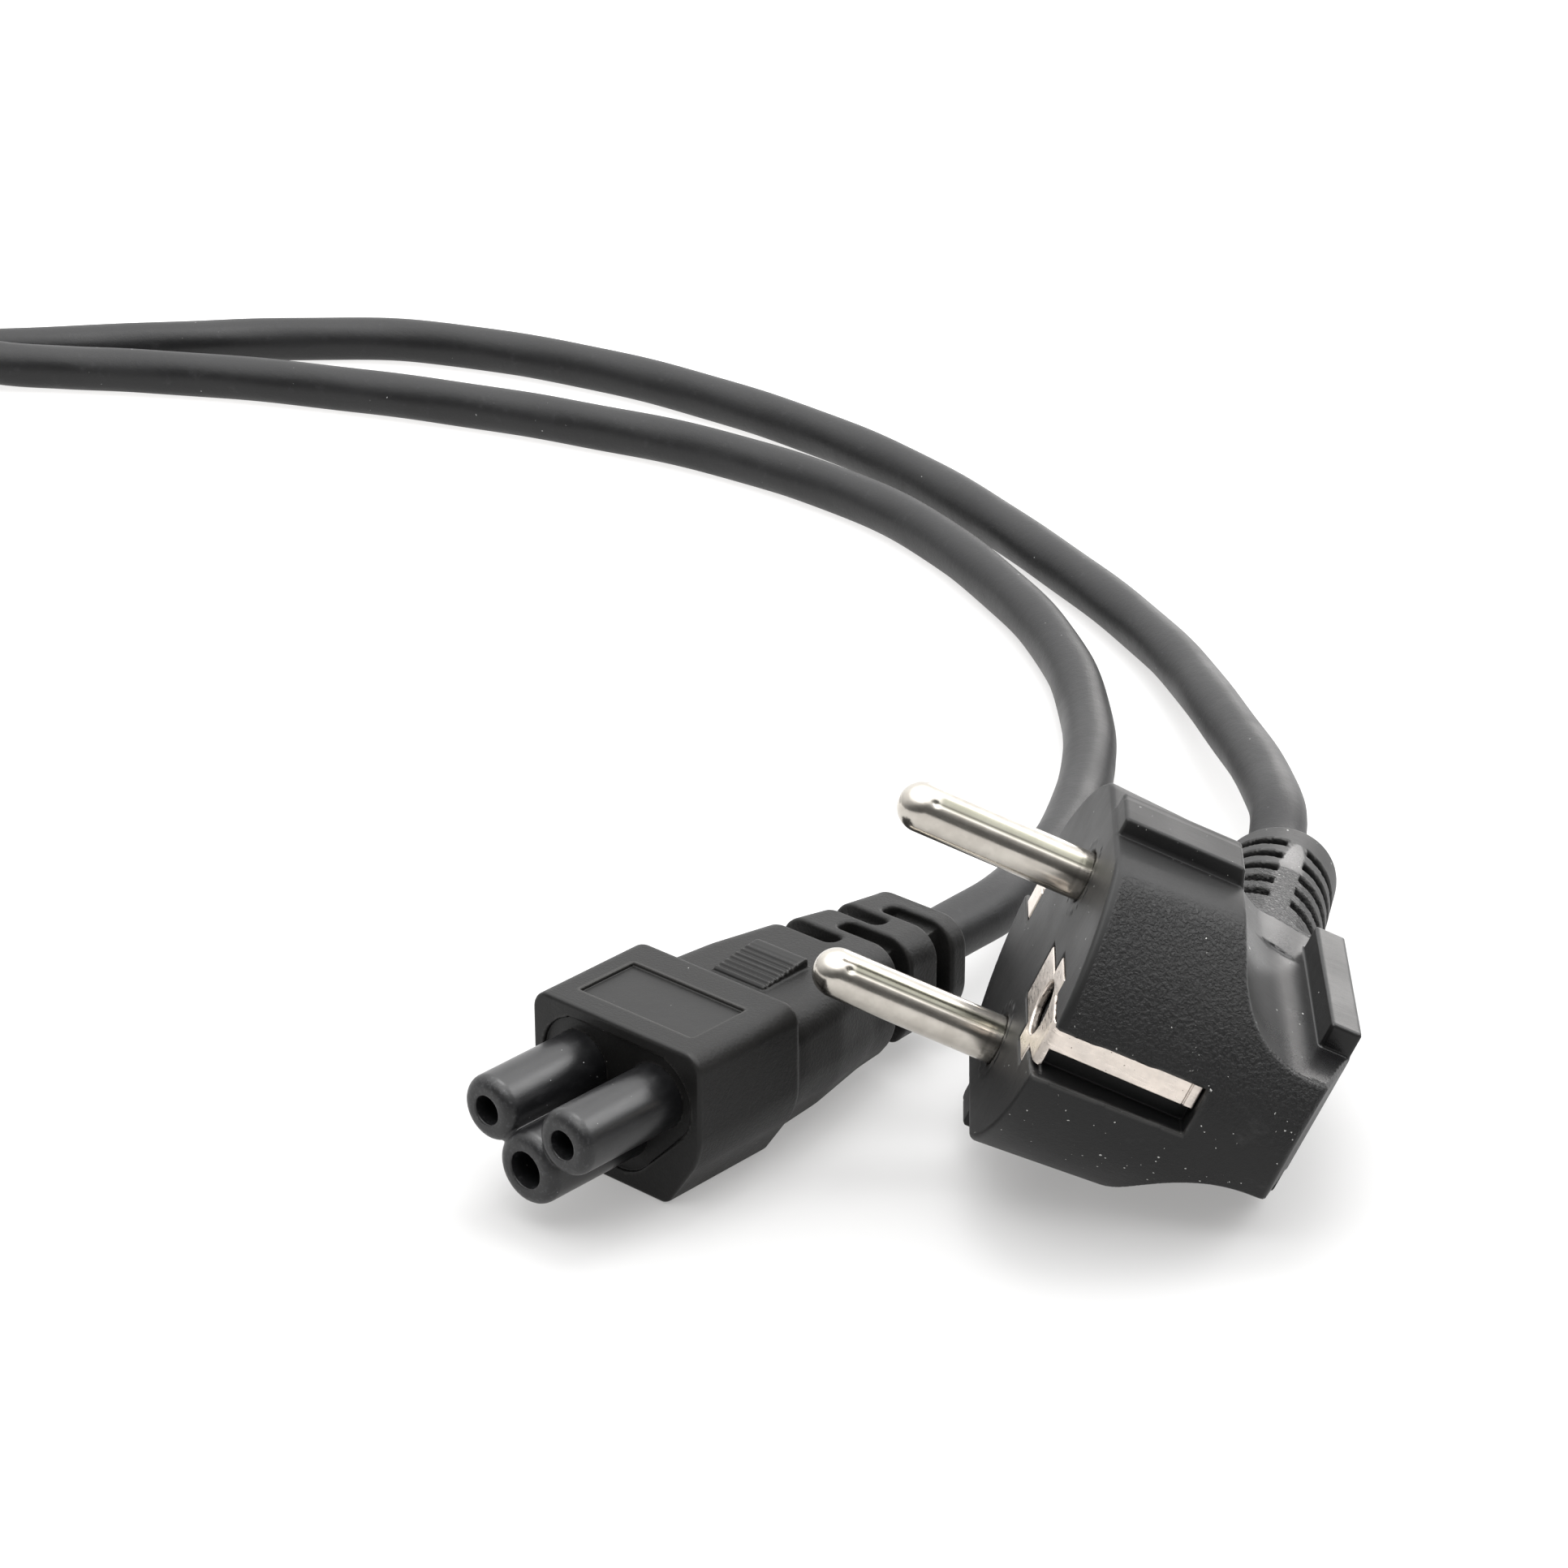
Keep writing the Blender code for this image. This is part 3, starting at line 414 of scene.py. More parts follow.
def connector_material():
    """Soft PVC with a fine spark-eroded grain."""
    m = Nodes("connector_pvc")
    fine = m.noise(7.5, 2.0, 0.65)
    n2 = m.noise(0.16, 3.0, 0.5)
    edge = m.attr("edge")
    base = m.mix(m.ramp(n2, 0.3, 0.7), (0.0046, 0.0045, 0.0043), (0.0072, 0.0069, 0.0066))
    base = m.mix(m.math("MULTIPLY", edge, 0.22), base, (0.10, 0.097, 0.092))
    lint = m.specks(2.0, 0.13, 0.10, m.math("ADD", m.attr("dust"), 0.12))
    base = m.mix(m.math("MULTIPLY", lint, 0.7), base, (0.5, 0.5, 0.49))
    m.set("Base Color", base)
    rough = m.math("ADD", m.ramp(n2, 0.25, 0.75, 0.40, 0.49), m.math("MULTIPLY", fine, 0.14))
    rough = m.math("SUBTRACT", rough, m.math("MULTIPLY", m.attr("gloss"), 0.10), clamp=True)
    m.set("Roughness", rough)
    m.set("Specular IOR Level", 0.24)
    sand = m.noise(3.1, 1.5, 0.6)
    amount = m.math("SUBTRACT", 1.0, m.math("MULTIPLY", m.attr("gloss"), 0.8))
    nrm = m.bump(m.math("MULTIPLY", fine, amount), 0.02, 1.0)
    nrm = m.bump(m.math("MULTIPLY", sand, amount), 0.045, 1.0, nrm)
    nrm = m.bump(n2, 0.25, 0.5, nrm)
    m.set("Normal", nrm)
    return m.mat


def insert_material():
    """Hard glossy plastic of the contact block, scuffed along the tubes and at their tips."""
    m = Nodes("insert_plastic")
    scuff = m.noise(1.0, 4.0, 0.7, vec=m.scaled(m.mm, (1.1, 0.5, 1.1)))
    tip = m.attr("tip")
    n2 = m.noise(2.2, 3.0, 0.7)
    base = m.mix(m.ramp(scuff, 0.45, 0.8), (0.0055, 0.0055, 0.0060), (0.0100, 0.0100, 0.0108))
    base = m.mix(m.math("MULTIPLY", tip, m.ramp(n2, 0.5, 0.75, 0.0, 0.5)), base, (0.060, 0.061, 0.064))
    lint = m.specks(1.8, 0.12, 0.14)
    base = m.mix(m.math("MULTIPLY", lint, 0.7), base, (0.5, 0.5, 0.5))
    m.set("Base Color", base)
    r = m.ramp(scuff, 0.35, 0.75, 0.29, 0.35)
    r = m.math("ADD", r, m.math("MULTIPLY", tip, 0.10), clamp=True)
    m.set("Roughness", r)
    m.set("Specular IOR Level", 0.45)
    nrm = m.bump(m.noise(2.5, 2.0, 0.6), 0.006, 1.0)
    nrm = m.bump(m.math("MULTIPLY", n2, m.math("ADD", tip, 0.08)), 0.022, 1.0, nrm)
    m.set("Normal", nrm)
    return m.mat


def cord_material():
    """Extruded PVC sheath: satin, with faint scuffs and a fine matt bloom."""
    m = Nodes("cord_pvc")
    fine = m.noise(5.0, 3.0, 0.65)
    n2 = m.noise(0.10, 3.0, 0.55)
    scuff = m.noise(0.55, 5.0, 0.7)
    base = m.mix(m.ramp(n2, 0.3, 0.7), (0.0052, 0.0052, 0.0055), (0.0085, 0.0085, 0.0089))
    base = m.mix(m.math("MULTIPLY", m.ramp(scuff, 0.55, 0.8), 0.22), base, (0.060, 0.060, 0.062))
    lint = m.specks(1.2, 0.12, 0.06)
    base = m.mix(m.math("MULTIPLY", lint, 0.6), base, (0.45, 0.45, 0.45))
    m.set("Base Color", base)
    r = m.math("ADD", m.ramp(n2, 0.25, 0.75, 0.36, 0.46), m.math("MULTIPLY", scuff, 0.10))
    m.set("Roughness", r)
    m.set("Specular IOR Level", 0.30)
    nrm = m.bump(fine, 0.02, 1.0)
    nrm = m.bump(scuff, 0.07, 0.8, nrm)
    m.set("Normal", nrm)
    return m.mat


def pin_material():
    """Nickel plate: bright, slightly warm, with fine drawing marks and small pits."""
    m = Nodes("pin_nickel")
    draw = m.noise(1.0, 3.0, 0.6, vec=m.scaled(m.mm, (5.0, 5.0, 0.35)))
    n2 = m.noise(0.5, 3.0, 0.6)
    base = m.mix(m.ramp(n2, 0.3, 0.7), (0.47, 0.44, 0.395), (0.55, 0.52, 0.47))
    pits = m.specks(1.7, 0.12, 0.07, m.math("ADD", m.attr("root"), 0.3))
    # painted reflection: the band darkens the nickel where the pins show a dark strip of reflected room
    base = m.mix(m.math("MULTIPLY", m.attr("band"), 0.80), base, (0.085, 0.088, 0.062))
    base = m.mix(m.math("MULTIPLY", m.attr("seam"), 0.45), base, (0.16, 0.16, 0.12))
    base = m.mix(m.math("MULTIPLY", pits, 0.8), base, (0.10, 0.08, 0.06))
    m.set("Base Color", base)
    m.set("Metallic", 1.0)
    r = m.math("ADD", m.ramp(draw, 0.3, 0.75, 0.16, 0.22), m.math("MULTIPLY", m.attr("seam"), 0.15))
    m.set("Roughness", m.math("ADD", r, m.math("MULTIPLY", pits, 0.3), clamp=True))
    m.set("Normal", m.bump(draw, 0.006, 0.6))
    return m.mat


def earth_material():
    """Plated sheet: pale, a little dull, speckled with small dark spots."""
    m = Nodes("earth_metal")
    n2 = m.noise(0.6, 4.0, 0.62)
    brush = m.noise(1.0, 3.0, 0.6, vec=m.scaled(m.mm, (4.0, 0.6, 0.6)))
    base = m.mix(m.ramp(n2, 0.3, 0.72), (0.74, 0.665, 0.60), (0.62, 0.565, 0.515))
    s1 = m.specks(2.6, 0.20, 0.16)
    s2 = m.specks(1.3, 0.15, 0.14)
    spots = m.math("MAXIMUM", s1, s2)
    base = m.mix(m.math("MULTIPLY", spots, 0.85), base, (0.09, 0.06, 0.045))
    m.set("Base Color", base)
    m.set("Metallic", 1.0)
    r = m.math("ADD", m.ramp(brush, 0.3, 0.7, 0.26, 0.42), m.math("MULTIPLY", spots, 0.3), clamp=True)
    m.set("Roughness", r)
    nrm = m.bump(n2, 0.10, 0.8)
    m.set("Normal", m.bump(brush, 0.015, 1.0, nrm))
    return m.mat


def brass_material():
    m = Nodes("contact_brass", own=False)
    n2 = m.noise(1.5, 3.0, 0.6)
    m.set("Base Color", m.mix(n2, (0.62, 0.47, 0.25), (0.72, 0.58, 0.34)))
    m.set("Metallic", 1.0)
    m.set("Roughness", m.ramp(n2, 0.3, 0.7, 0.25, 0.42))
    m.set("Normal", m.bump(n2, 0.03, 0.6))
    return m.mat


def tie_material():
    """Ribbed black nylon of the cable tie."""
    m = Nodes("tie_plastic")
    n2 = m.noise(1.2, 3.0, 0.6)
    m.set("Base Color", m.mix(n2, (0.020, 0.020, 0.021), (0.030, 0.030, 0.031)))
    m.set("Roughness", m.ramp(n2, 0.3, 0.7, 0.32, 0.45))
    m.set("Normal", m.bump(n2, 0.05, 0.7))
    return m.mat


# ----------------------------------------------------------------- plug body
_A_END = math.atan2(1.0, SADDLE_SLOPE)
_PLATE = [(-2.8, 2.4), (2.8, 2.4), (2.8, 8.0), (4.6, 8.0), (4.6, 12.6), (2.8, 12.6), (2.2, 19.0),
          (-2.2, 19.0), (-2.8, 12.6), (-4.6, 12.6), (-4.6, 8.0), (-2.8, 8.0)]


def saddle_field(x, z):
    """Negative inside either finger saddle."""
    qx = np.abs(x) - (WEB_X + SADDLE_R)
    qz = z - SADDLE_Z
    nx, nz = -math.cos(_A_END), math.sin(_A_END)
    tx, tz = math.sin(_A_END), math.cos(_A_END)
    rad = np.hypot(qx, qz) - SADDLE_R
    d1 = -qx - SADDLE_R
    d2 = qx * nx + qz * nz - SADDLE_R
    sector = (qz >= 0) & (qx * tx + qz * tz <= 0)
    return np.where(sector, rad, np.maximum(d1, d2))


def boot_axis(y):
    return BOOT_Z0 + (BOOT_Z1 - BOOT_Z0) * (y - BOOT_Y0) / (BOOT_Y1 - BOOT_Y0)


def boot_field(x, y, z):
    t = (y - BOOT_Y0) / (BOOT_Y1 - BOOT_Y0)
    r = BOOT_R0 + (BOOT_R1 - BOOT_R0) * t
    rad = np.hypot(x, z - boot_axis(y))
    d = (rad - r) * 0.985
    d = both_r(d, BOOT_Y1 - 0.8 - y, 0.9)
    d = np.maximum(d, y - BOOT_Y0)
    # slots
    slope = (BOOT_Z1 - BOOT_Z0) / (BOOT_Y1 - BOOT_Y0)
    ca, sa = math.cos(math.atan(slope)), math.sin(math.atan(slope))
    cut = np.full(np.broadcast(x, y, z).shape, 9.0)
    for k in range(BOOT_SLOTS):
        yc = BOOT_SLOT_Y - k * BOOT_SLOT_PITCH
        zc = boot_axis(yc)
        v = (y - yc) * ca + (z - zc) * sa
        w = -(y - yc) * sa + (z - zc) * ca
        rr = np.hypot(x, w)
        side = np.abs(x) * math.sin(math.radians(10.5)) - np.abs(w) * math.cos(math.radians(10.5))
        one = both_r(both_r(4.4 - rr, side, 0.25), np.abs(v) - BOOT_SLOT_W / 2, 0.15)
        cut = np.minimum(cut, one)
    return d, cut


def plug_field(x, y, z):
    t = TAPER * z / BODY_DEPTH
    rx, ry = FACE_RX + t, FACE_RY + t
    k0 = np.hypot(x / rx, y / ry)
    k1 = np.hypot(x / rx ** 2, y / ry ** 2)
    oval = k0 * (k0 - 1.0) / np.maximum(k1, 1e-6)
    core = both_r(oval, np.abs(x) - KEY_X, 0.6)
    rib = both_r(np.abs(x) - KEY_RIB_X, np.abs(y) - KEY_HALF, 0.30)
    rib = both_r(rib, z + 0.25, 0.3)
    # faint parting line along each rib
    line = np.hypot(np.abs(x) - KEY_RIB_X, y + 1.9) - 0.09
    rib = less_r(rib, line, 0.05)
    oval = join_r(core, rib, 0.22)
    d = both_r(oval, z, 0.50)
    back = -BODY_DEPTH - z
    ang = math.atan2(BODY_DEPTH + BACK_END_Z, BACK_END_Y - BACK_BREAK_Y)
    slope = (-(z + BODY_DEPTH) * math.cos(ang) + (y - BACK_BREAK_Y) * math.sin(ang))
    back = both_r(back, slope, 0.05)
    d = both_r(d, back, 0.45)
    d = both_r(d, -saddle_field(x, z), 0.32)
    rail = box2(x, y - (RAIL_Y0 + RAIL_Y1) / 2, RAIL_X, (RAIL_Y1 - RAIL_Y0) / 2, 0.4)
    rail = both_r(rail, both_r(-BODY_DEPTH - z, z - RAIL_Z, 0.25), 0.30)
    d = join_r(d, rail, 0.25)
    boot, slots = boot_field(x, y, z)
    d = join_r(d, boot, 0.7)
    d = both_r(d, -slots, 0.16)
    # pin seats with a shallow rim round each pin
    pr = np.hypot(np.abs(x) - PIN_PITCH / 2, y)
    d = join_r(d, both_r(np.abs(pr - 3.65) - 0.18, np.abs(z + 1.0) - 1.05, 0.05), 0.05)
    seat = both_r(pr - (PIN_D / 2 + 0.12), -PIN_SEAT - GAP - z, 0.1)
    d = both_r(d, -seat, 0.18)
    hole = both_r(np.hypot(x, y - EARTH_HOLE_Y) - EARTH_HOLE_D / 2, -EARTH_HOLE_DEPTH - z, 0.2)
    d = both_r(d, -hole, 0.12)
    # seat of the earth plate, channels of the side strips, seat of the far tab
    plate = both_r(poly2(x, y, _PLATE) - 0.24, -(PLATE_T + 0.2) - z, 0.1)
    chan = np.maximum(np.abs(x) - 2.5, 15.4 - np.abs(y))
    chan = both_r(chan, -STRIP_LEN - 0.12 - z, 0.1)
    tab = np.maximum(np.maximum(np.abs(x) - 2.5, np.abs(y + 14.2) - 1.8), -(PLATE_T + 0.2) - z)
    d = both_r(d, -np.minimum(np.minimum(plate, chan), tab), 0.14)
    # cord entry
    entry = np.hypot(x, z - boot_axis(y)) - (CORD_D / 2 + 0.08)
    entry = np.maximum(entry, y - (BOOT_Y1 + 6.0))
    return both_r(d, -entry, 0.35)


def plug_attrs(p, n):
    x, y, z = p.T
    out = both_r(np.abs(x) - KEY_X, np.abs(y) - 60, 0.1)
    t = TAPER * z / BODY_DEPTH
    k0 = np.hypot(x / (FACE_RX + t), y / (FACE_RY + t))
    side = (k0 > 0.965) & (z < -0.9) & (np.abs(n[:, 2]) < 0.5) & (y > -30)
    flat = smooth(KEY_X - 0.05, KEY_X - 2.2, np.abs(x))
    low = smooth(-3.5, 4.0, x)
    near = smooth(-6.5, 2.0, x)
    grain = np.where(side, flat * (0.25 + 0.75 * (1 - low)) * (0.2 + 0.8 * (1 - near * (y > 0))), 0.0)
    grain = np.where(side & (y <= 0), flat, grain)
    dust = np.where(side & (y > 0), smooth(-9.0, -1.0, x) * smooth(15.0, 7.0, x), 0.12)
    step = ((np.abs(np.abs(y) - KEY_HALF) < 0.5) & (np.abs(x) > KEY_X - 0.7)).astype(float)
    curv = plug_field(*(p - n * 0.28).T) + 0.28
    edge = np.clip(curv / 0.12, 0, 1)
    sad = saddle_field(x, z)
    gloss = (sad < 0.12) * (z < -3)
    return {"grain": grain, "dust": dust, "edge": edge, "lint": step, "gloss": gloss.astype(float)}


# ----------------------------------------------------------------- earth contacts
def earth_near_field(x, y, z):
    flat = poly2(x, y, [(a, min(b, STRIP_Y)) for a, b in _PLATE])
    flat = both_r(flat, np.abs(z + PLATE_T / 2) - PLATE_T / 2, 0.14)
    strip = box2(x + 0.95, y - (STRIP_Y - PLATE_T / 2), 1.25, PLATE_T / 2, 0.12)
    strip = both_r(strip, both_r(z + PLATE_T / 2, -STRIP_LEN - z, 0.1), 0.14)
    # the strip's end is bent inwards
    d = join_r(flat, strip, 0.1)
    bend = np.hypot(y - (STRIP_Y - 1.1), z + 1.1) - 1.1
    corner = (y > STRIP_Y - 1.1) & (z > -1.1) & (np.abs(x) < 3)
    d = np.where(corner, np.maximum(d, bend), d)
    # score line across the strip near its end
    score = np.hypot(y - STRIP_Y, z + STRIP_LEN - 1.05) - 0.10
    d = less_r(d, score, 0.04)
    hole = np.hypot(x, y - EARTH_HOLE_Y) - EARTH_HOLE_D / 2
    return both_r(d, -hole, 0.16)


def earth_far_field(x, y, z):
    lip = box2(x - 0.65, y + (STRIP_Y + 12.7) / 2, 1.55, (STRIP_Y - 12.7) / 2, 0.15)
    lip = both_r(lip, np.abs(z + PLATE_T / 2) - PLATE_T / 2, 0.14)
    strip = box2(x - 0.65, y + (STRIP_Y - PLATE_T / 2), 1.55, PLATE_T / 2, 0.12)
    strip = both_r(strip, both_r(z + PLATE_T / 2, -STRIP_LEN - z, 0.1), 0.14)
    d = join_r(lip, strip, 0.1)
    bend = np.hypot(y + (STRIP_Y - 1.1), z + 1.1) - 1.1
    corner = (y < -(STRIP_Y - 1.1)) & (z > -1.1)
    return np.where(corner, np.maximum(d, bend), d)


# ----------------------------------------------------------------- pins
def make_pin(name, sx, mat):
    """Rolled nickel pin: round nose, shallow root groove, a seam with a small dimple near the tip."""
    r = PIN_D / 2
    prof = [(0.35, -PIN_SEAT), (r - 0.1, -PIN_SEAT), (r, -PIN_SEAT + 0.15), (r, -0.4)]
    zs = list(np.arange(0.0, PIN_LEN - r, 0.16))
    for zz in zs:
        groove = 0.006 * math.exp(-((zz - 1.05) / 0.13) ** 2)
        prof.append((r - groove, zz))
    for k in range(0, 19):
        a = math.radians(90.0 * k / 19)
        prof.append((r * math.cos(a) ** 0.96, PIN_LEN - r + r * math.sin(a)))
    n = 128
    # the seam looks up and towards the camera in the laid-out frame
    cam = (PF.inverted().to_3x3() @ Vector((0.10, -0.72, 0.69)))
    seam_a = math.atan2(cam.y, cam.x)
    # the band is a painted reflection: a dark strip of reflected room, painted on the upper side of the seam
    up = PF.inverted().to_3x3() @ Vector((0.0, 0.0, 1.0))
    sx_side = -1.0 if cam.x * up.y - cam.y * up.x > 0 else 1.0
    ang = np.arange(n) * 2 * math.pi / n
    verts, seam, root, band = [], [], [], []
    for rr, zz in prof:
        for a in ang:
            da = (a - seam_a + math.pi) % (2 * math.pi) - math.pi
            arc = da * r
            cut = 0.0
            s = 0.0
            if -0.2 < zz < PIN_LEN - r - 0.1:
                fade = min(1.0, (PIN_LEN - r - 0.1 - zz) / 0.5, (zz + 0.2) / 0.4)
                cut += 0.045 * math.exp(-(arc / 0.11) ** 2) * fade
                s += math.exp(-(arc / 0.14) ** 2) * fade
            dd = math.hypot(arc, zz - (PIN_LEN - r - 0.7))
            cut += 0.16 * math.exp(-(dd / 0.28) ** 2)
            s += 0.8 * math.exp(-(dd / 0.32) ** 2)
            q = rr - (cut if zz > -0.3 else 0.0)
            verts.append((sx * PIN_PITCH / 2 + q * math.cos(a), q * math.sin(a), zz))
            seam.append(min(1.0, s))
            run = min(1.0, max(0.0, (PIN_LEN - r - 0.5 - zz) / 0.8)) * min(1.0, max(0.0, (zz + 0.2) / 0.3))
            band.append(math.exp(-((arc * sx_side + 0.55) / 0.60) ** 4) * run)
            root.append(max(0.0, 1.0 - abs(zz) / 5.0))
    m = len(prof)
    base = np.arange(n)
    quads = []
    for i in range(m - 1):
        a = base + i * n
        b = (base + 1) % n + i * n
        quads.append(np.stack([a, b, b + n, a + n], 1))
    quads = np.concatenate(quads)
    # close both ends with a middle vertex
    top = len(verts)
    verts.append((sx * PIN_PITCH / 2, 0.0, PIN_LEN))
    bot = len(verts)
    verts.append((sx * PIN_PITCH / 2, 0.0, -PIN_SEAT))
    seam += [0.0, 0.0]
    band += [0.0, 0.0]
    root += [0.0, 0.0]
    o = (m - 1) * n
    me = bpy.data.meshes.new(name)
    faces = [tuple(int(v) for v in q) for q in quads]
    faces += [(o + i, o + (i + 1) % n, top) for i in range(n)]
    faces += [((i + 1) % n, i, bot) for i in range(n)]
    me.from_pydata([PF @ Vector((x * MM, y * MM, z * MM)) for x, y, z in verts], [], faces)
    me.update()
    me.shade_smooth()
    local_attr(me, np.array(verts))
    for key, val in (("seam", seam), ("root", root), ("band", band)):
        at = me.attributes.new(key, "FLOAT", "POINT")
        at.data.foreach_set("value", np.asarray(val, np.float32))
    me.materials.append(mat)
    ob = bpy.data.objects.new(name, me)
    COL.objects.link(ob)
    return ob


# ----------------------------------------------------------------- connector
def table(rows, blur):
    """Piecewise linear parameter tables along l, softened over a length in mm."""
    rows = np.array(rows, float)
    ls = np.arange(-6.0, 50.0, 0.1)
    k = max(1, int(blur / 0.1))
    kern = np.hanning(k + 2)[1:-1]
    kern /= kern.sum()
    out = []
    for c in range(1, rows.shape[1]):
        v = np.interp(ls, rows[:, 0], rows[:, c])
        pad = np.pad(v, k, "edge")
        out.append(np.convolve(pad, kern, "same")[k:-k])
    return ls, out


# l, centre, half width, bottom, top, chamfer width, chamfer height, upper corner radius
NECK = table([(0.0, 0.0, HEAD_W / 2 - 0.9, 0.8, NECK_Z, 4.3, 6.1, 3.0),
              (15.0, 0.0, HEAD_W / 2 - 0.9, 0.8, NECK_Z, 4.2, 6.0, 3.0),
              (21.0, 0.0, 9.2, 1.2, NECK_Z, 3.6, 5.0, 3.0),
              (28.0, 0.0, 7.5, 2.0, NECK_Z, 2.6, 3.6, 3.0),
              (35.0, 0.3, 6.6, 2.5, 14.4, 2.2, 2.8, 3.0),
              (42.3, 0.5, 6.3, 2.8, 13.7, 2.0, 2.4, 2.8),
              (46.0, 0.5, 6.3, 2.8, 13.7, 2.0, 2.4, 2.8)], 2.4)


def section_field(s, z, w, z0, z1, cw, ch, r):
    """Rounded box with its two lower corners cut off."""
    a = np.abs(s)
    top = both_r(a - w, z - z1, r)
    ln = np.hypot(cw, ch)
    slant = ((a - (w - cw)) * ch - (z - z0) * cw) / ln
    d = both_r(top, slant, 1.2)
    return both_r(d, z0 - z, 0.6)


def clover2(s, z, grow):
    a = np.hypot(np.abs(s) - TUBE_DX, z - TUBE_Z) - TUBE_R - grow
    b = np.hypot(s, z - EARTH_TUBE_Z) - EARTH_TUBE_R - grow
    return a, b


def hull2(s, z, grow):
    """Rounded triangle that surrounds the three tubes."""
    a = np.abs(s)
    ex, ez = TUBE_DX, TUBE_Z - EARTH_TUBE_Z
    # flat top between the two upper discs
    top = z - TUBE_Z - TUBE_R
    ra = np.hypot(a - TUBE_DX, z - TUBE_Z) - TUBE_R
    rb = np.hypot(a, z - EARTH_TUBE_Z) - EARTH_TUBE_R
    # slanting sides: segment between the disc centres with a varying radius
    ln2 = ex * ex + ez * ez
    t = np.clip((a * ex + (z - EARTH_TUBE_Z) * ez) / ln2, 0, 1)
    px, pz = a - t * ex, z - EARTH_TUBE_Z - t * ez
    cone = np.hypot(px, pz) - (EARTH_TUBE_R + (TUBE_R - EARTH_TUBE_R) * t)
    core = np.maximum(np.maximum(top, a - TUBE_DX), 9.5 - z)
    return np.minimum(np.minimum(np.minimum(ra, rb), cone), core) - grow


def connector_field(s, l, z):
    h = HEAD_W / 2
    head = section_field(s, z, h, 0.0, HEAD_H, HEAD_CH_W, HEAD_CH_H, 2.0)
    head = both_r(head, HEAD_L0 - l, 0.35)
    head = both_r(head, l - (HEAD_L + 0.1), 0.95)
    ls, (c, w, z0, z1, cw, ch, r) = NECK
    li = np.clip(((l - ls[0]) / 0.1), 0, len(ls) - 1.001)
    i0 = li.astype(int)
    f = li - i0
    c, w, z0, z1, cw, ch = (q[i0] * (1 - f) + q[i0 + 1] * f for q in (c, w, z0, z1, cw, ch))
    neck = section_field(s - c, z, w, z0, z1, cw, ch, 3.0)
    neck = both_r(neck, l - 42.8, 0.5)
    neck = np.maximum(neck, 4.0 - l)
    # ridged thumb wedge
    t = np.clip((l - WEDGE_L0) / (WEDGE_L1 - WEDGE_L0), 0, 1)
    step = (WEDGE_L1 - WEDGE_L0) / WEDGE_RIDGES
    ridge = 0.11 * np.cos(2 * math.pi * (l - WEDGE_L0) / step - math.pi) * smooth(0.86, 0.7, t)
    top = WEDGE_Z0 + 0.15 + (WEDGE_Z1 - WEDGE_Z0) * t + ridge
    wedge = both_r(z - top, l - WEDGE_L1, 0.5)
    wedge = both_r(wedge, WEDGE_L0 - l, 0.06)
    wedge = both_r(wedge, np.abs(s) - WEDGE_HALF, 0.22)
    wedge = np.maximum(wedge, 12.0 - z)
    neck = join_r(neck, wedge, 0.15)
    d = join_r(head, neck, 0.65)
    # shallow bare panel
    panel = box2(s, l - 5.6, 7.3, 3.7, 0.25)
    panel = np.maximum(panel, HEAD_H - 0.4 - z)
    d = both_r(d, -panel, 0.10)
    # relief slots
    for sx, lc in RELIEF_SLOTS:
        cc = 0.5 * (lc - 28.0) / 14.3
        u = sx * (s - cc)
        reg = np.minimum(3.8 - u, np.maximum(-1.3 - u, np.maximum(12.4 - z, -z + 12.4)))
        reg = np.minimum(reg, np.maximum(-1.3 - u, z - 4.6))
        slot = both_r(reg, np.abs(l - lc) - RELIEF_SLOT_W / 2, 0.9)
        d = both_r(d, -slot, 0.42)
    # shallow recess round the tubes
    hull = hull2(s, z, 0.0)
    d = both_r(d, -both_r(hull - 1.35, l - (HEAD_L0 + 0.42), 0.12), 0.16)
    a, b = clover2(s, z, 0.0)
    room = -0.12 + (POCKET_WALL - 0.03) * smooth(1.0, 1.4, l)
    d = np.maximum(d, -np.maximum(join_r(a - room, b - room, 0.4), l - 10.0))
    entry = np.maximum(np.hypot(s - CORD_S, z - CORD_Z) - (CORD_D / 2 + 0.08), CORD_L - 2.0 - l)
    return both_r(d, -entry, 0.35)


def connector_attrs(p, n):
    s, l, z = p.T
    panel = (np.abs(s) < 7.25) & (l > 1.95) & (l < 9.25) & (z > 16.3)
    front = (l < HEAD_L0 + 0.6)
    wedge = (np.abs(s) < WEDGE_HALF) & (l > WEDGE_L0) & (l < WEDGE_L1) & (z > 15.0)
    curv = connector_field(*(p - n * 0.28).T) + 0.28
    edge = np.clip(curv / 0.12, 0, 1)
    dust = np.where(front, 1.0, 0.0)
    gloss = np.where(panel | wedge, 1.0, np.where(front, 0.8, 0.0))
    return {"dust": dust, "edge": edge, "gloss": gloss}


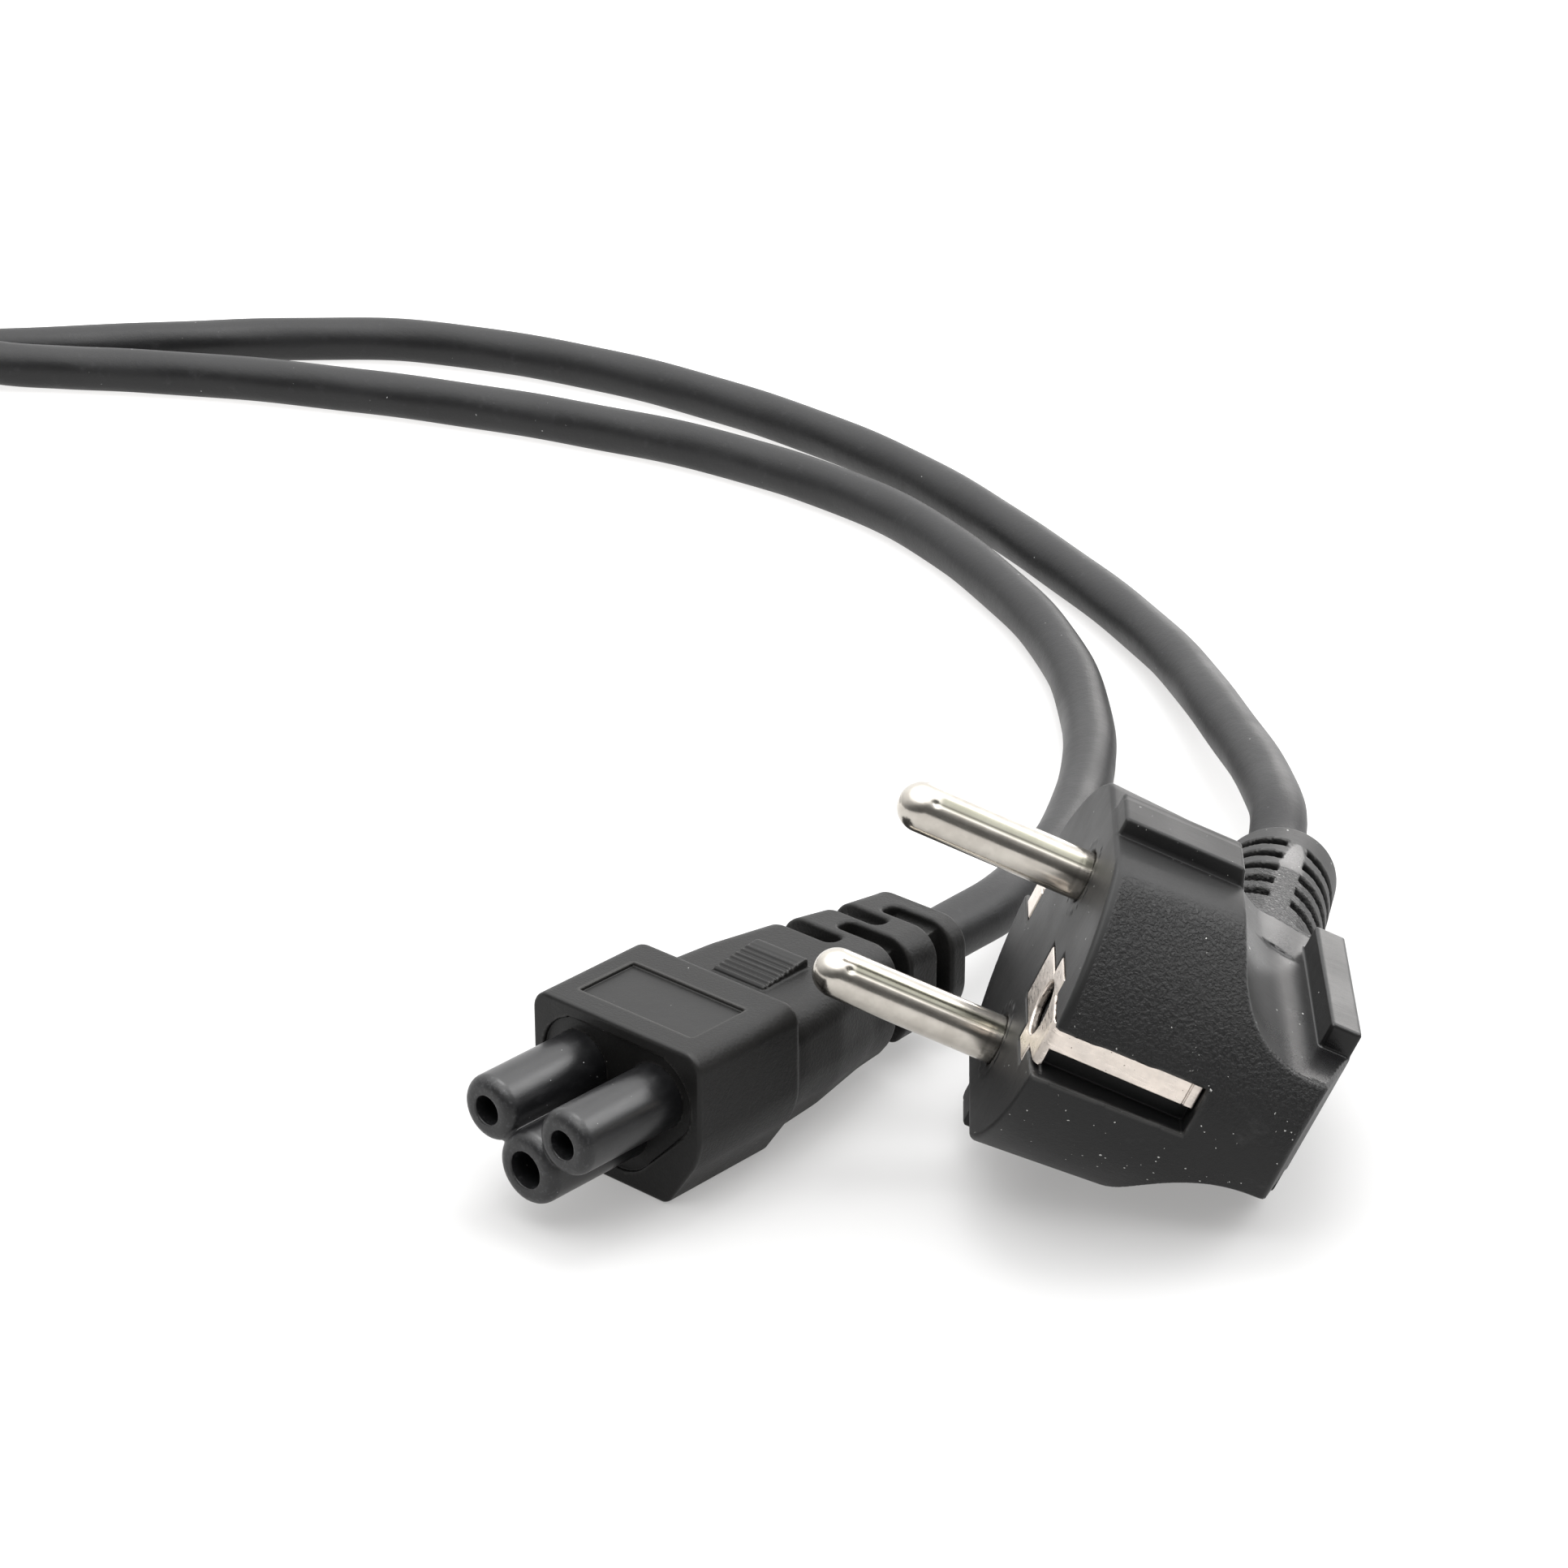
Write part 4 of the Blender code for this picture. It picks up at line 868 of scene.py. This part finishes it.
def insert_field(s, l, z):
    a = np.hypot(np.abs(s) - TUBE_DX, z - TUBE_Z) - TUBE_R
    b = np.hypot(s, z - EARTH_TUBE_Z) - EARTH_TUBE_R
    tubes = []
    for q in (a, b):
        # each tube is a touch thicker where it stands on the block
        foot = q - 0.05 * smooth(-1.2, -0.4, l)
        tubes.append(both_r(foot, -TUBE_OUT - l, 1.2))
    d = join_r(tubes[0], tubes[1], 0.35)
    d = both_r(d, l - 9.5, 0.2)
    base = join_r(*clover2(s, z, 0.2), 0.35)
    base = both_r(base, np.abs(l - (POCKET_DEPTH + 9.7) / 2) - (9.7 - POCKET_DEPTH) / 2, 0.15)
    d = join_r(d, base, 0.15)
    bore_a = np.hypot(np.abs(s) - TUBE_DX, z - TUBE_Z) - BORE_R
    bore_b = np.hypot(s, z - EARTH_TUBE_Z) - EARTH_BORE_R
    bore = np.maximum(np.minimum(bore_a, bore_b), l - 2.0)
    return both_r(d, -bore, 0.16)


def insert_attrs(p, n):
    s, l, z = p.T
    return {"tip": smooth(-TUBE_OUT + 1.5, -TUBE_OUT + 0.3, l)}


# ----------------------------------------------------------------- cord route
def smooth_path(ctrl, per=24):
    """Centripetal Catmull-Rom curve through the control points."""
    pts = [Vector(p) for p in ctrl]
    pts = [pts[0] * 2 - pts[1]] + pts + [pts[-1] * 2 - pts[-2]]
    out = []
    for i in range(1, len(pts) - 2):
        p0, p1, p2, p3 = pts[i - 1:i + 3]
        t0 = 0.0
        t1 = t0 + (p1 - p0).length ** 0.5
        t2 = t1 + (p2 - p1).length ** 0.5
        t3 = t2 + (p3 - p2).length ** 0.5
        for k in range(per):
            t = t1 + (t2 - t1) * k / per
            a1 = p0 * ((t1 - t) / (t1 - t0)) + p1 * ((t - t0) / (t1 - t0))
            a2 = p1 * ((t2 - t) / (t2 - t1)) + p2 * ((t - t1) / (t2 - t1))
            a3 = p2 * ((t3 - t) / (t3 - t2)) + p3 * ((t - t2) / (t3 - t2))
            b1 = a1 * ((t2 - t) / (t2 - t0)) + a2 * ((t - t0) / (t2 - t0))
            b2 = a2 * ((t3 - t) / (t3 - t1)) + a3 * ((t - t1) / (t3 - t1))
            out.append(b1 * ((t2 - t) / (t2 - t1)) + b2 * ((t - t1) / (t2 - t1)))
    out.append(pts[-2])
    return out


def resample(pts, step):
    total = sum((b - a).length for a, b in zip(pts, pts[1:]))
    n = max(2, int(round(total / step)))
    d = np.concatenate([[0], np.cumsum([(b - a).length for a, b in zip(pts, pts[1:])])])
    arr = np.array([tuple(p) for p in pts])
    want = np.linspace(0, total, n + 1)
    return np.stack([np.interp(want, d, arr[:, k]) for k in range(3)], 1)


PLUG_ROUTE = ((52.7, -29.5, 9.8), (52.6, -18.5, 8.8), (50.2, 2.0, 6.6), (45.6, 29.0, 4.0),
              (34.5, 58.0, 3.1), (15.5, 92.0, 3.1), (-7.0, 116.5, 3.1), (-30.5, 133.5, 3.1),
              (-54.0, 143.1, 3.1), (-71.0, 143.5, 3.1), (-86.0, 142.2, 3.1), (-99.0, 140.5, 3.1),
              (-112.0, 138.9, 3.1), (-125.0, 137.6, 3.1), (-138.0, 134.9, 3.1), (-150.0, 130.0, 3.1))
CON_ROUTE = ((22.3, -46.5, 8.2), (29.8, -27.5, 6.2), (34.0, -6.0, 4.6), (34.9, 9.0, 3.5),
             (33.8, 26.0, 3.1), (28.8, 45.5, 3.1), (14.5, 75.0, 3.1), (-6.0, 95.8, 3.1),
             (-29.0, 109.6, 3.1), (-52.0, 119.6, 3.1), (-75.0, 127.0, 3.1), (-90.0, 130.0, 3.1),
             (-101.0, 131.4, 3.2), (-112.0, 132.1, 3.9),
             (-125.0, 132.4, 8.0), (-138.0, 135.0, 10.4), (-150.0, 139.4, 9.9))
COIL_C = (-230.0, 134.6)
COIL_R = 31.0
COIL_OUT_R = COIL_R + CORD_D
COIL_HALF_W = 1.5 * CORD_D
COIL_STOP = math.sqrt((COIL_R + COIL_HALF_W) ** 2 - (COIL_OUT_R - CORD_D / 2) ** 2) + 0.4
COIL_H = 2.0 * CORD_D + 0.2
TIE_W, TIE_T = 5.0, 1.0
SWING_SLOPE = 0.42


def laid(points):
    return [Vector(p) - ORIGIN for p in points]


def coil_approach(p, side, z_end, n=5):
    """Swing from point p to the tangent of the outermost turn: a cubic that
    leaves p already turning that way and arrives along the coil's side."""
    x1, y1 = COIL_C[0] + COIL_STOP, COIL_C[1] + side * COIL_OUT_R
    out = []
    for k in range(1, n + 1):
        t = k / n
        w = t * t * (3 - 2 * t)
        y = p[1] + (y1 - p[1]) * w + side * SWING_SLOPE * (p[0] - x1) * t * (1 - t) ** 2
        out.append((p[0] + (x1 - p[0]) * t, y, p[2] + (z_end - p[2]) * w))
    return tuple(out)


def coil_points():
    """Turns of the stored length: three wide below, wound inwards, then three wide on top, wound outwards."""
    lay, low, high = CORD_D, CORD_D / 2, 1.5 * CORD_D
    radii = (COIL_R + lay, COIL_R, COIL_R - lay)
    legs = [(90, 330, 0, 0, 0, 0), (330, 450, 0, 1, 0, 0), (450, 690, 1, 1, 0, 0), (690, 810, 1, 2, 0, 0),
            (810, 1050, 2, 2, 0, 0), (1050, 1170, 2, 2, 0, 1), (1170, 1290, 2, 2, 1, 1),
            (1290, 1410, 2, 1, 1, 1), (1410, 1650, 1, 1, 1, 1), (1650, 1770, 1, 0, 1, 1),
            (1770, 2070, 0, 0, 1, 1)]
    out = []
    for a0, a1, r0, r1, h0, h1 in legs:
        n = int((a1 - a0) / 6)
        for k in range(n):
            t = k / n
            w = 0.5 - 0.5 * math.cos(math.pi * t)
            a = math.radians(a0 + (a1 - a0) * t)
            r = radii[r0] + (radii[r1] - radii[r0]) * w
            z = (low, high)[h0] + ((low, high)[h1] - (low, high)[h0]) * w
            out.append(Vector((COIL_C[0] - ORIGIN.x + r * math.cos(a), COIL_C[1] - ORIGIN.y - r * math.sin(a), z)))
    a = math.radians(2070)
    out.append(Vector((COIL_C[0] - ORIGIN.x + radii[0] * math.cos(a), COIL_C[1] - ORIGIN.y - radii[0] * math.sin(a), high)))
    return out


def cord_route():
    a0 = PF @ (Vector((0, BOOT_Y1 - 1.2 + 3.5, boot_axis(BOOT_Y1 - 1.2 + 3.5))) * MM) / MM
    a = PF @ (Vector((0, BOOT_Y1 - 1.2, BOOT_Z1)) * MM) / MM
    a1 = PF @ (Vector((0, BOOT_Y1 - 8.0, BOOT_Z1 - 0.6)) * MM) / MM
    b = CF @ (Vector((CORD_S, CORD_L, CORD_Z)) * MM) / MM
    b1 = CF @ (Vector((CORD_S, CORD_L + 8.0, CORD_Z)) * MM) / MM
    out = smooth_path([a, a1] + laid(PLUG_ROUTE + coil_approach(PLUG_ROUTE[-1], -1, CORD_D / 2)))
    back = smooth_path([b, b1] + laid(CON_ROUTE + coil_approach(CON_ROUTE[-1], 1, 1.5 * CORD_D)))
    return [a0] + out + smooth_path(coil_points(), 3) + back[::-1]


def tube_mesh(name, line, radius, mat, sides=28):
    """Round tube swept along a line with frames carried without twist. The sheath
    follows the laid-up cores beneath it, a very slight, slowly turning waviness."""
    t = np.gradient(line, axis=0)
    t /= np.linalg.norm(t, axis=1)[:, None]
    up = np.zeros_like(t)
    u = np.cross(t[0], (0, 0, 1.0))
    u /= np.linalg.norm(u)
    for i in range(len(line)):
        u = u - t[i] * u.dot(t[i])
        u /= np.linalg.norm(u)
        up[i] = u
    v = np.cross(t, up)
    step = np.linalg.norm(np.diff(line, axis=0), axis=1)
    dist = np.concatenate([[0], np.cumsum(step)])
    ang = np.arange(sides) * 2 * math.pi / sides
    wave = 0.035 * np.cos(3 * (ang[None, :] - dist[:, None] * 2 * math.pi / 62.0))
    wave += 0.02 * np.sin(dist[:, None] / 7.3 + 1.3 * np.sin(dist[:, None] / 23.0)) * np.cos(ang[None, :] + dist[:, None] / 31.0)
    rr = radius - 0.055 + wave
    p = (line[:, None, :] + rr[..., None] * (np.cos(ang)[None, :, None] * up[:, None, :]
                                             + np.sin(ang)[None, :, None] * v[:, None, :]))
    m, n = len(line), sides
    idx = np.arange(m * n).reshape(m, n)
    a, b = idx[:-1], idx[1:]
    quads = np.stack([a, np.roll(a, -1, 1), np.roll(b, -1, 1), b], -1).reshape(-1, 4)
    me = bpy.data.meshes.new(name)
    faces = [tuple(int(c) for c in q) for q in quads]
    faces.append(tuple(int(c) for c in idx[0][::-1]))
    faces.append(tuple(int(c) for c in idx[-1]))
    me.from_pydata([tuple(c) for c in (p.reshape(-1, 3) * MM)], [], faces)
    me.update()
    me.shade_smooth()
    local_attr(me, p.reshape(-1, 3))
    me.materials.append(mat)
    ob = bpy.data.objects.new(name, me)
    COL.objects.link(ob)
    return ob


def make_tie(mat):
    """Ribbed nylon tie round the bundle."""
    r0, r1 = COIL_R - COIL_HALF_W, COIL_R + COIL_HALF_W
    cr, cz = (r0 + r1) / 2, COIL_H / 2
    half_r, half_z = (r1 - r0) / 2 - 0.06, COIL_H / 2 - 0.06
    cx, cy = COIL_C[0] - ORIGIN.x, COIL_C[1] - ORIGIN.y
    ymax = TIE_W / 2

    def f(x, y, z):
        # x is minus the radius about the coil's axis, y across the tie
        d = box2(-x - cr, z - cz, half_r, half_z, 2.6)
        band = np.abs(d + TIE_T / 2) - TIE_T / 2 + 0.02
        teeth = 0.07 * np.cos(2 * math.pi * (x + z) / 1.1) * (np.abs(y) < ymax - 0.9)
        band = both_r(band + np.maximum(teeth, 0), np.abs(y) - ymax, 0.25)
        return band

    place = Matrix.Translation((cx * MM, cy * MM, 0.0))
    return field_piece("coil_tie", f, (-r1 - 1, -ymax - 0.6, -0.6), (-r0 + 1, ymax + 0.6, COIL_H + 0.6), 0.3, place, [mat])


# ----------------------------------------------------------------- camera, floor, light
def camera():
    cam = bpy.data.cameras.new("camera")
    cam.lens = 101.05
    cam.sensor_width = 36.0
    cam.clip_start, cam.clip_end = 0.01, 20.0
    ob = bpy.data.objects.new("camera", cam)
    COL.objects.link(ob)
    ob.location = (-0.013769, -0.379613, 0.211545)
    ob.rotation_euler = (math.radians(90 - 25.03), 0.0, 0.0)
    SCN.camera = ob


def floor():
    m = bpy.data.materials.new("floor")
    m.use_nodes = True
    b = m.node_tree.nodes["Principled BSDF"]
    b.inputs["Base Color"].default_value = (0.29, 0.29, 0.29, 1)
    b.inputs["Emission Color"].default_value = (1.0, 0.99, 0.98, 1)
    t = m.node_tree
    co = t.nodes.new("ShaderNodeTexCoord")
    sep = t.nodes.new("ShaderNodeSeparateXYZ")
    t.links.new(co.outputs["Object"], sep.inputs[0])
    far = t.nodes.new("ShaderNodeMapRange")
    far.interpolation_type = "SMOOTHSTEP"
    for k, v in (("From Min", -0.02), ("From Max", 0.20), ("To Min", 0.34), ("To Max", 0.85)):
        far.inputs[k].default_value = v
    t.links.new(sep.outputs[1], far.inputs["Value"])
    t.links.new(far.outputs[0], b.inputs["Emission Strength"])
    b.inputs["Roughness"].default_value = 0.75
    b.inputs["Specular IOR Level"].default_value = 0.15
    me = bpy.data.meshes.new("floor")
    s = 3.0
    me.from_pydata([(-s, -s, 0), (s, -s, 0), (s, s, 0), (-s, s, 0)], [], [(0, 1, 2, 3)])
    me.materials.append(m)
    ob = bpy.data.objects.new("floor", me)
    COL.objects.link(ob)
    ob.location.z = -0.00005


def area(name, loc, target, size, power, colour=(1, 1, 1)):
    li = bpy.data.lights.new(name, "AREA")
    li.shape = "RECTANGLE"
    li.size, li.size_y = size
    li.energy = power
    li.color = colour
    ob = bpy.data.objects.new(name, li)
    COL.objects.link(ob)
    ob.location = loc
    d = Vector(target) - Vector(loc)
    ob.rotation_euler = d.to_track_quat("-Z", "Y").to_euler()
    return ob


def lights():
    w = bpy.data.worlds.new("studio")
    SCN.world = w
    w.use_nodes = True
    t = w.node_tree
    bg = t.nodes["Background"]
    co = t.nodes.new("ShaderNodeTexCoord")
    sep = t.nodes.new("ShaderNodeSeparateXYZ")
    t.links.new(co.outputs["Generated"], sep.inputs[0])
    mr = t.nodes.new("ShaderNodeMapRange")
    mr.interpolation_type = "SMOOTHSTEP"
    mr.inputs["From Min"].default_value = -0.25
    mr.inputs["From Max"].default_value = 1.05
    mr.inputs["To Min"].default_value = 0.15
    mr.inputs["To Max"].default_value = 1.75
    # darker on the viewer's side, brighter behind the object
    tilt = t.nodes.new("ShaderNodeMath")
    tilt.operation = "MULTIPLY_ADD"
    tilt.inputs[1].default_value = 0.60
    t.links.new(sep.outputs[1], tilt.inputs[0])
    t.links.new(sep.outputs[2], tilt.inputs[2])
    t.links.new(tilt.outputs[0], mr.inputs["Value"])
    top = t.nodes.new("ShaderNodeMapRange")
    top.interpolation_type = "SMOOTHSTEP"
    for k, v in (("From Min", 0.55), ("From Max", 0.88), ("To Min", 0.0), ("To Max", 2.0)):
        top.inputs[k].default_value = v
    t.links.new(sep.outputs[2], top.inputs["Value"])
    both = t.nodes.new("ShaderNodeMath")
    t.links.new(mr.outputs[0], both.inputs[0])
    t.links.new(top.outputs[0], both.inputs[1])
    t.links.new(both.outputs[0], bg.inputs["Color"])
    bg.inputs["Strength"].default_value = 1.0
    area("key", (0.05, 0.16, 0.75), (0.0, 0.02, 0.0), (0.32, 0.24), 2.2)
    area("right", (0.62, 0.20, 0.54), (0.03, 0.0, 0.02), (0.50, 0.40), 3.4)
    area("front", (-0.10, -0.40, 0.80), (0.0, 0.0, 0.0), (0.45, 0.30), 1.6)
    area("back", (0.35, 0.82, 0.19), (0.03, 0.0, 0.02), (0.34, 0.16), 0.95, (1.0, 0.97, 0.95))


# ----------------------------------------------------------------- build
def main():
    camera()
    floor()
    lights()
    mats = {"plug": plug_material(), "con": connector_material(), "insert": insert_material(),
            "cord": cord_material(), "pin": pin_material(), "earth": earth_material(),
            "brass": brass_material(), "tie": tie_material()}

    plug = field_piece("plug_moulding", plug_field, (-18.6, -43.2, -34.9), (18.6, 20.2, 0.8), 0.33, PF,
                       [mats["plug"]], plug_attrs)
    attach(plug, "root")
    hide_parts("plug_body")

    for name, sx in (("line_pin", -1), ("neutral_pin", 1)):
        pin = make_pin(name + "_rolled", sx, mats["pin"])
        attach(pin, "root")
        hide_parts(name)

    near = field_piece("earth_plate", earth_near_field, (-5.2, 1.8, -16.0), (5.2, 18.0, 0.6), 0.16, PF, [mats["earth"]])
    far = field_piece("earth_far_strip", earth_far_field, (-1.6, -18.0, -16.0), (2.9, -12.0, 0.6), 0.16, PF, [mats["earth"]])
    for ob, node in ((near, "earth_contact"), (far, "earth_strip")):
        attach(ob, "root")
        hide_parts(node)

    con = field_piece("connector_moulding", connector_field, (-11.51, -1.91, -0.61), (11.4, 43.5, 17.7), 0.235, CF,
                      [mats["con"]], connector_attrs)
    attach(con, "root")
    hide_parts("connector_body")
    ins = field_piece("connector_tubes", insert_field, (-8.85, -13.75, 2.05), (8.9, 10.2, 15.1), 0.24, CF,
                      [mats["insert"]], insert_attrs)
    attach(ins, "root")
    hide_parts("connector_insert")
    for n in ("contact_line", "contact_neutral", "contact_earth"):
        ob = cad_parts[n]
        for s in ob.material_slots:
            s.material = mats["brass"]

    line = resample(cord_route(), 1.6)
    cord = tube_mesh("cord", line, CORD_D / 2, mats["cord"])
    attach(cord, "root")
    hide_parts("cord_plug_side", "cord_connector_side", "cord_coil")
    tie = make_tie(mats["tie"])
    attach(tie, "root")
    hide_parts("cord_tie")

    SCN.view_settings.view_transform = "Standard"


main()
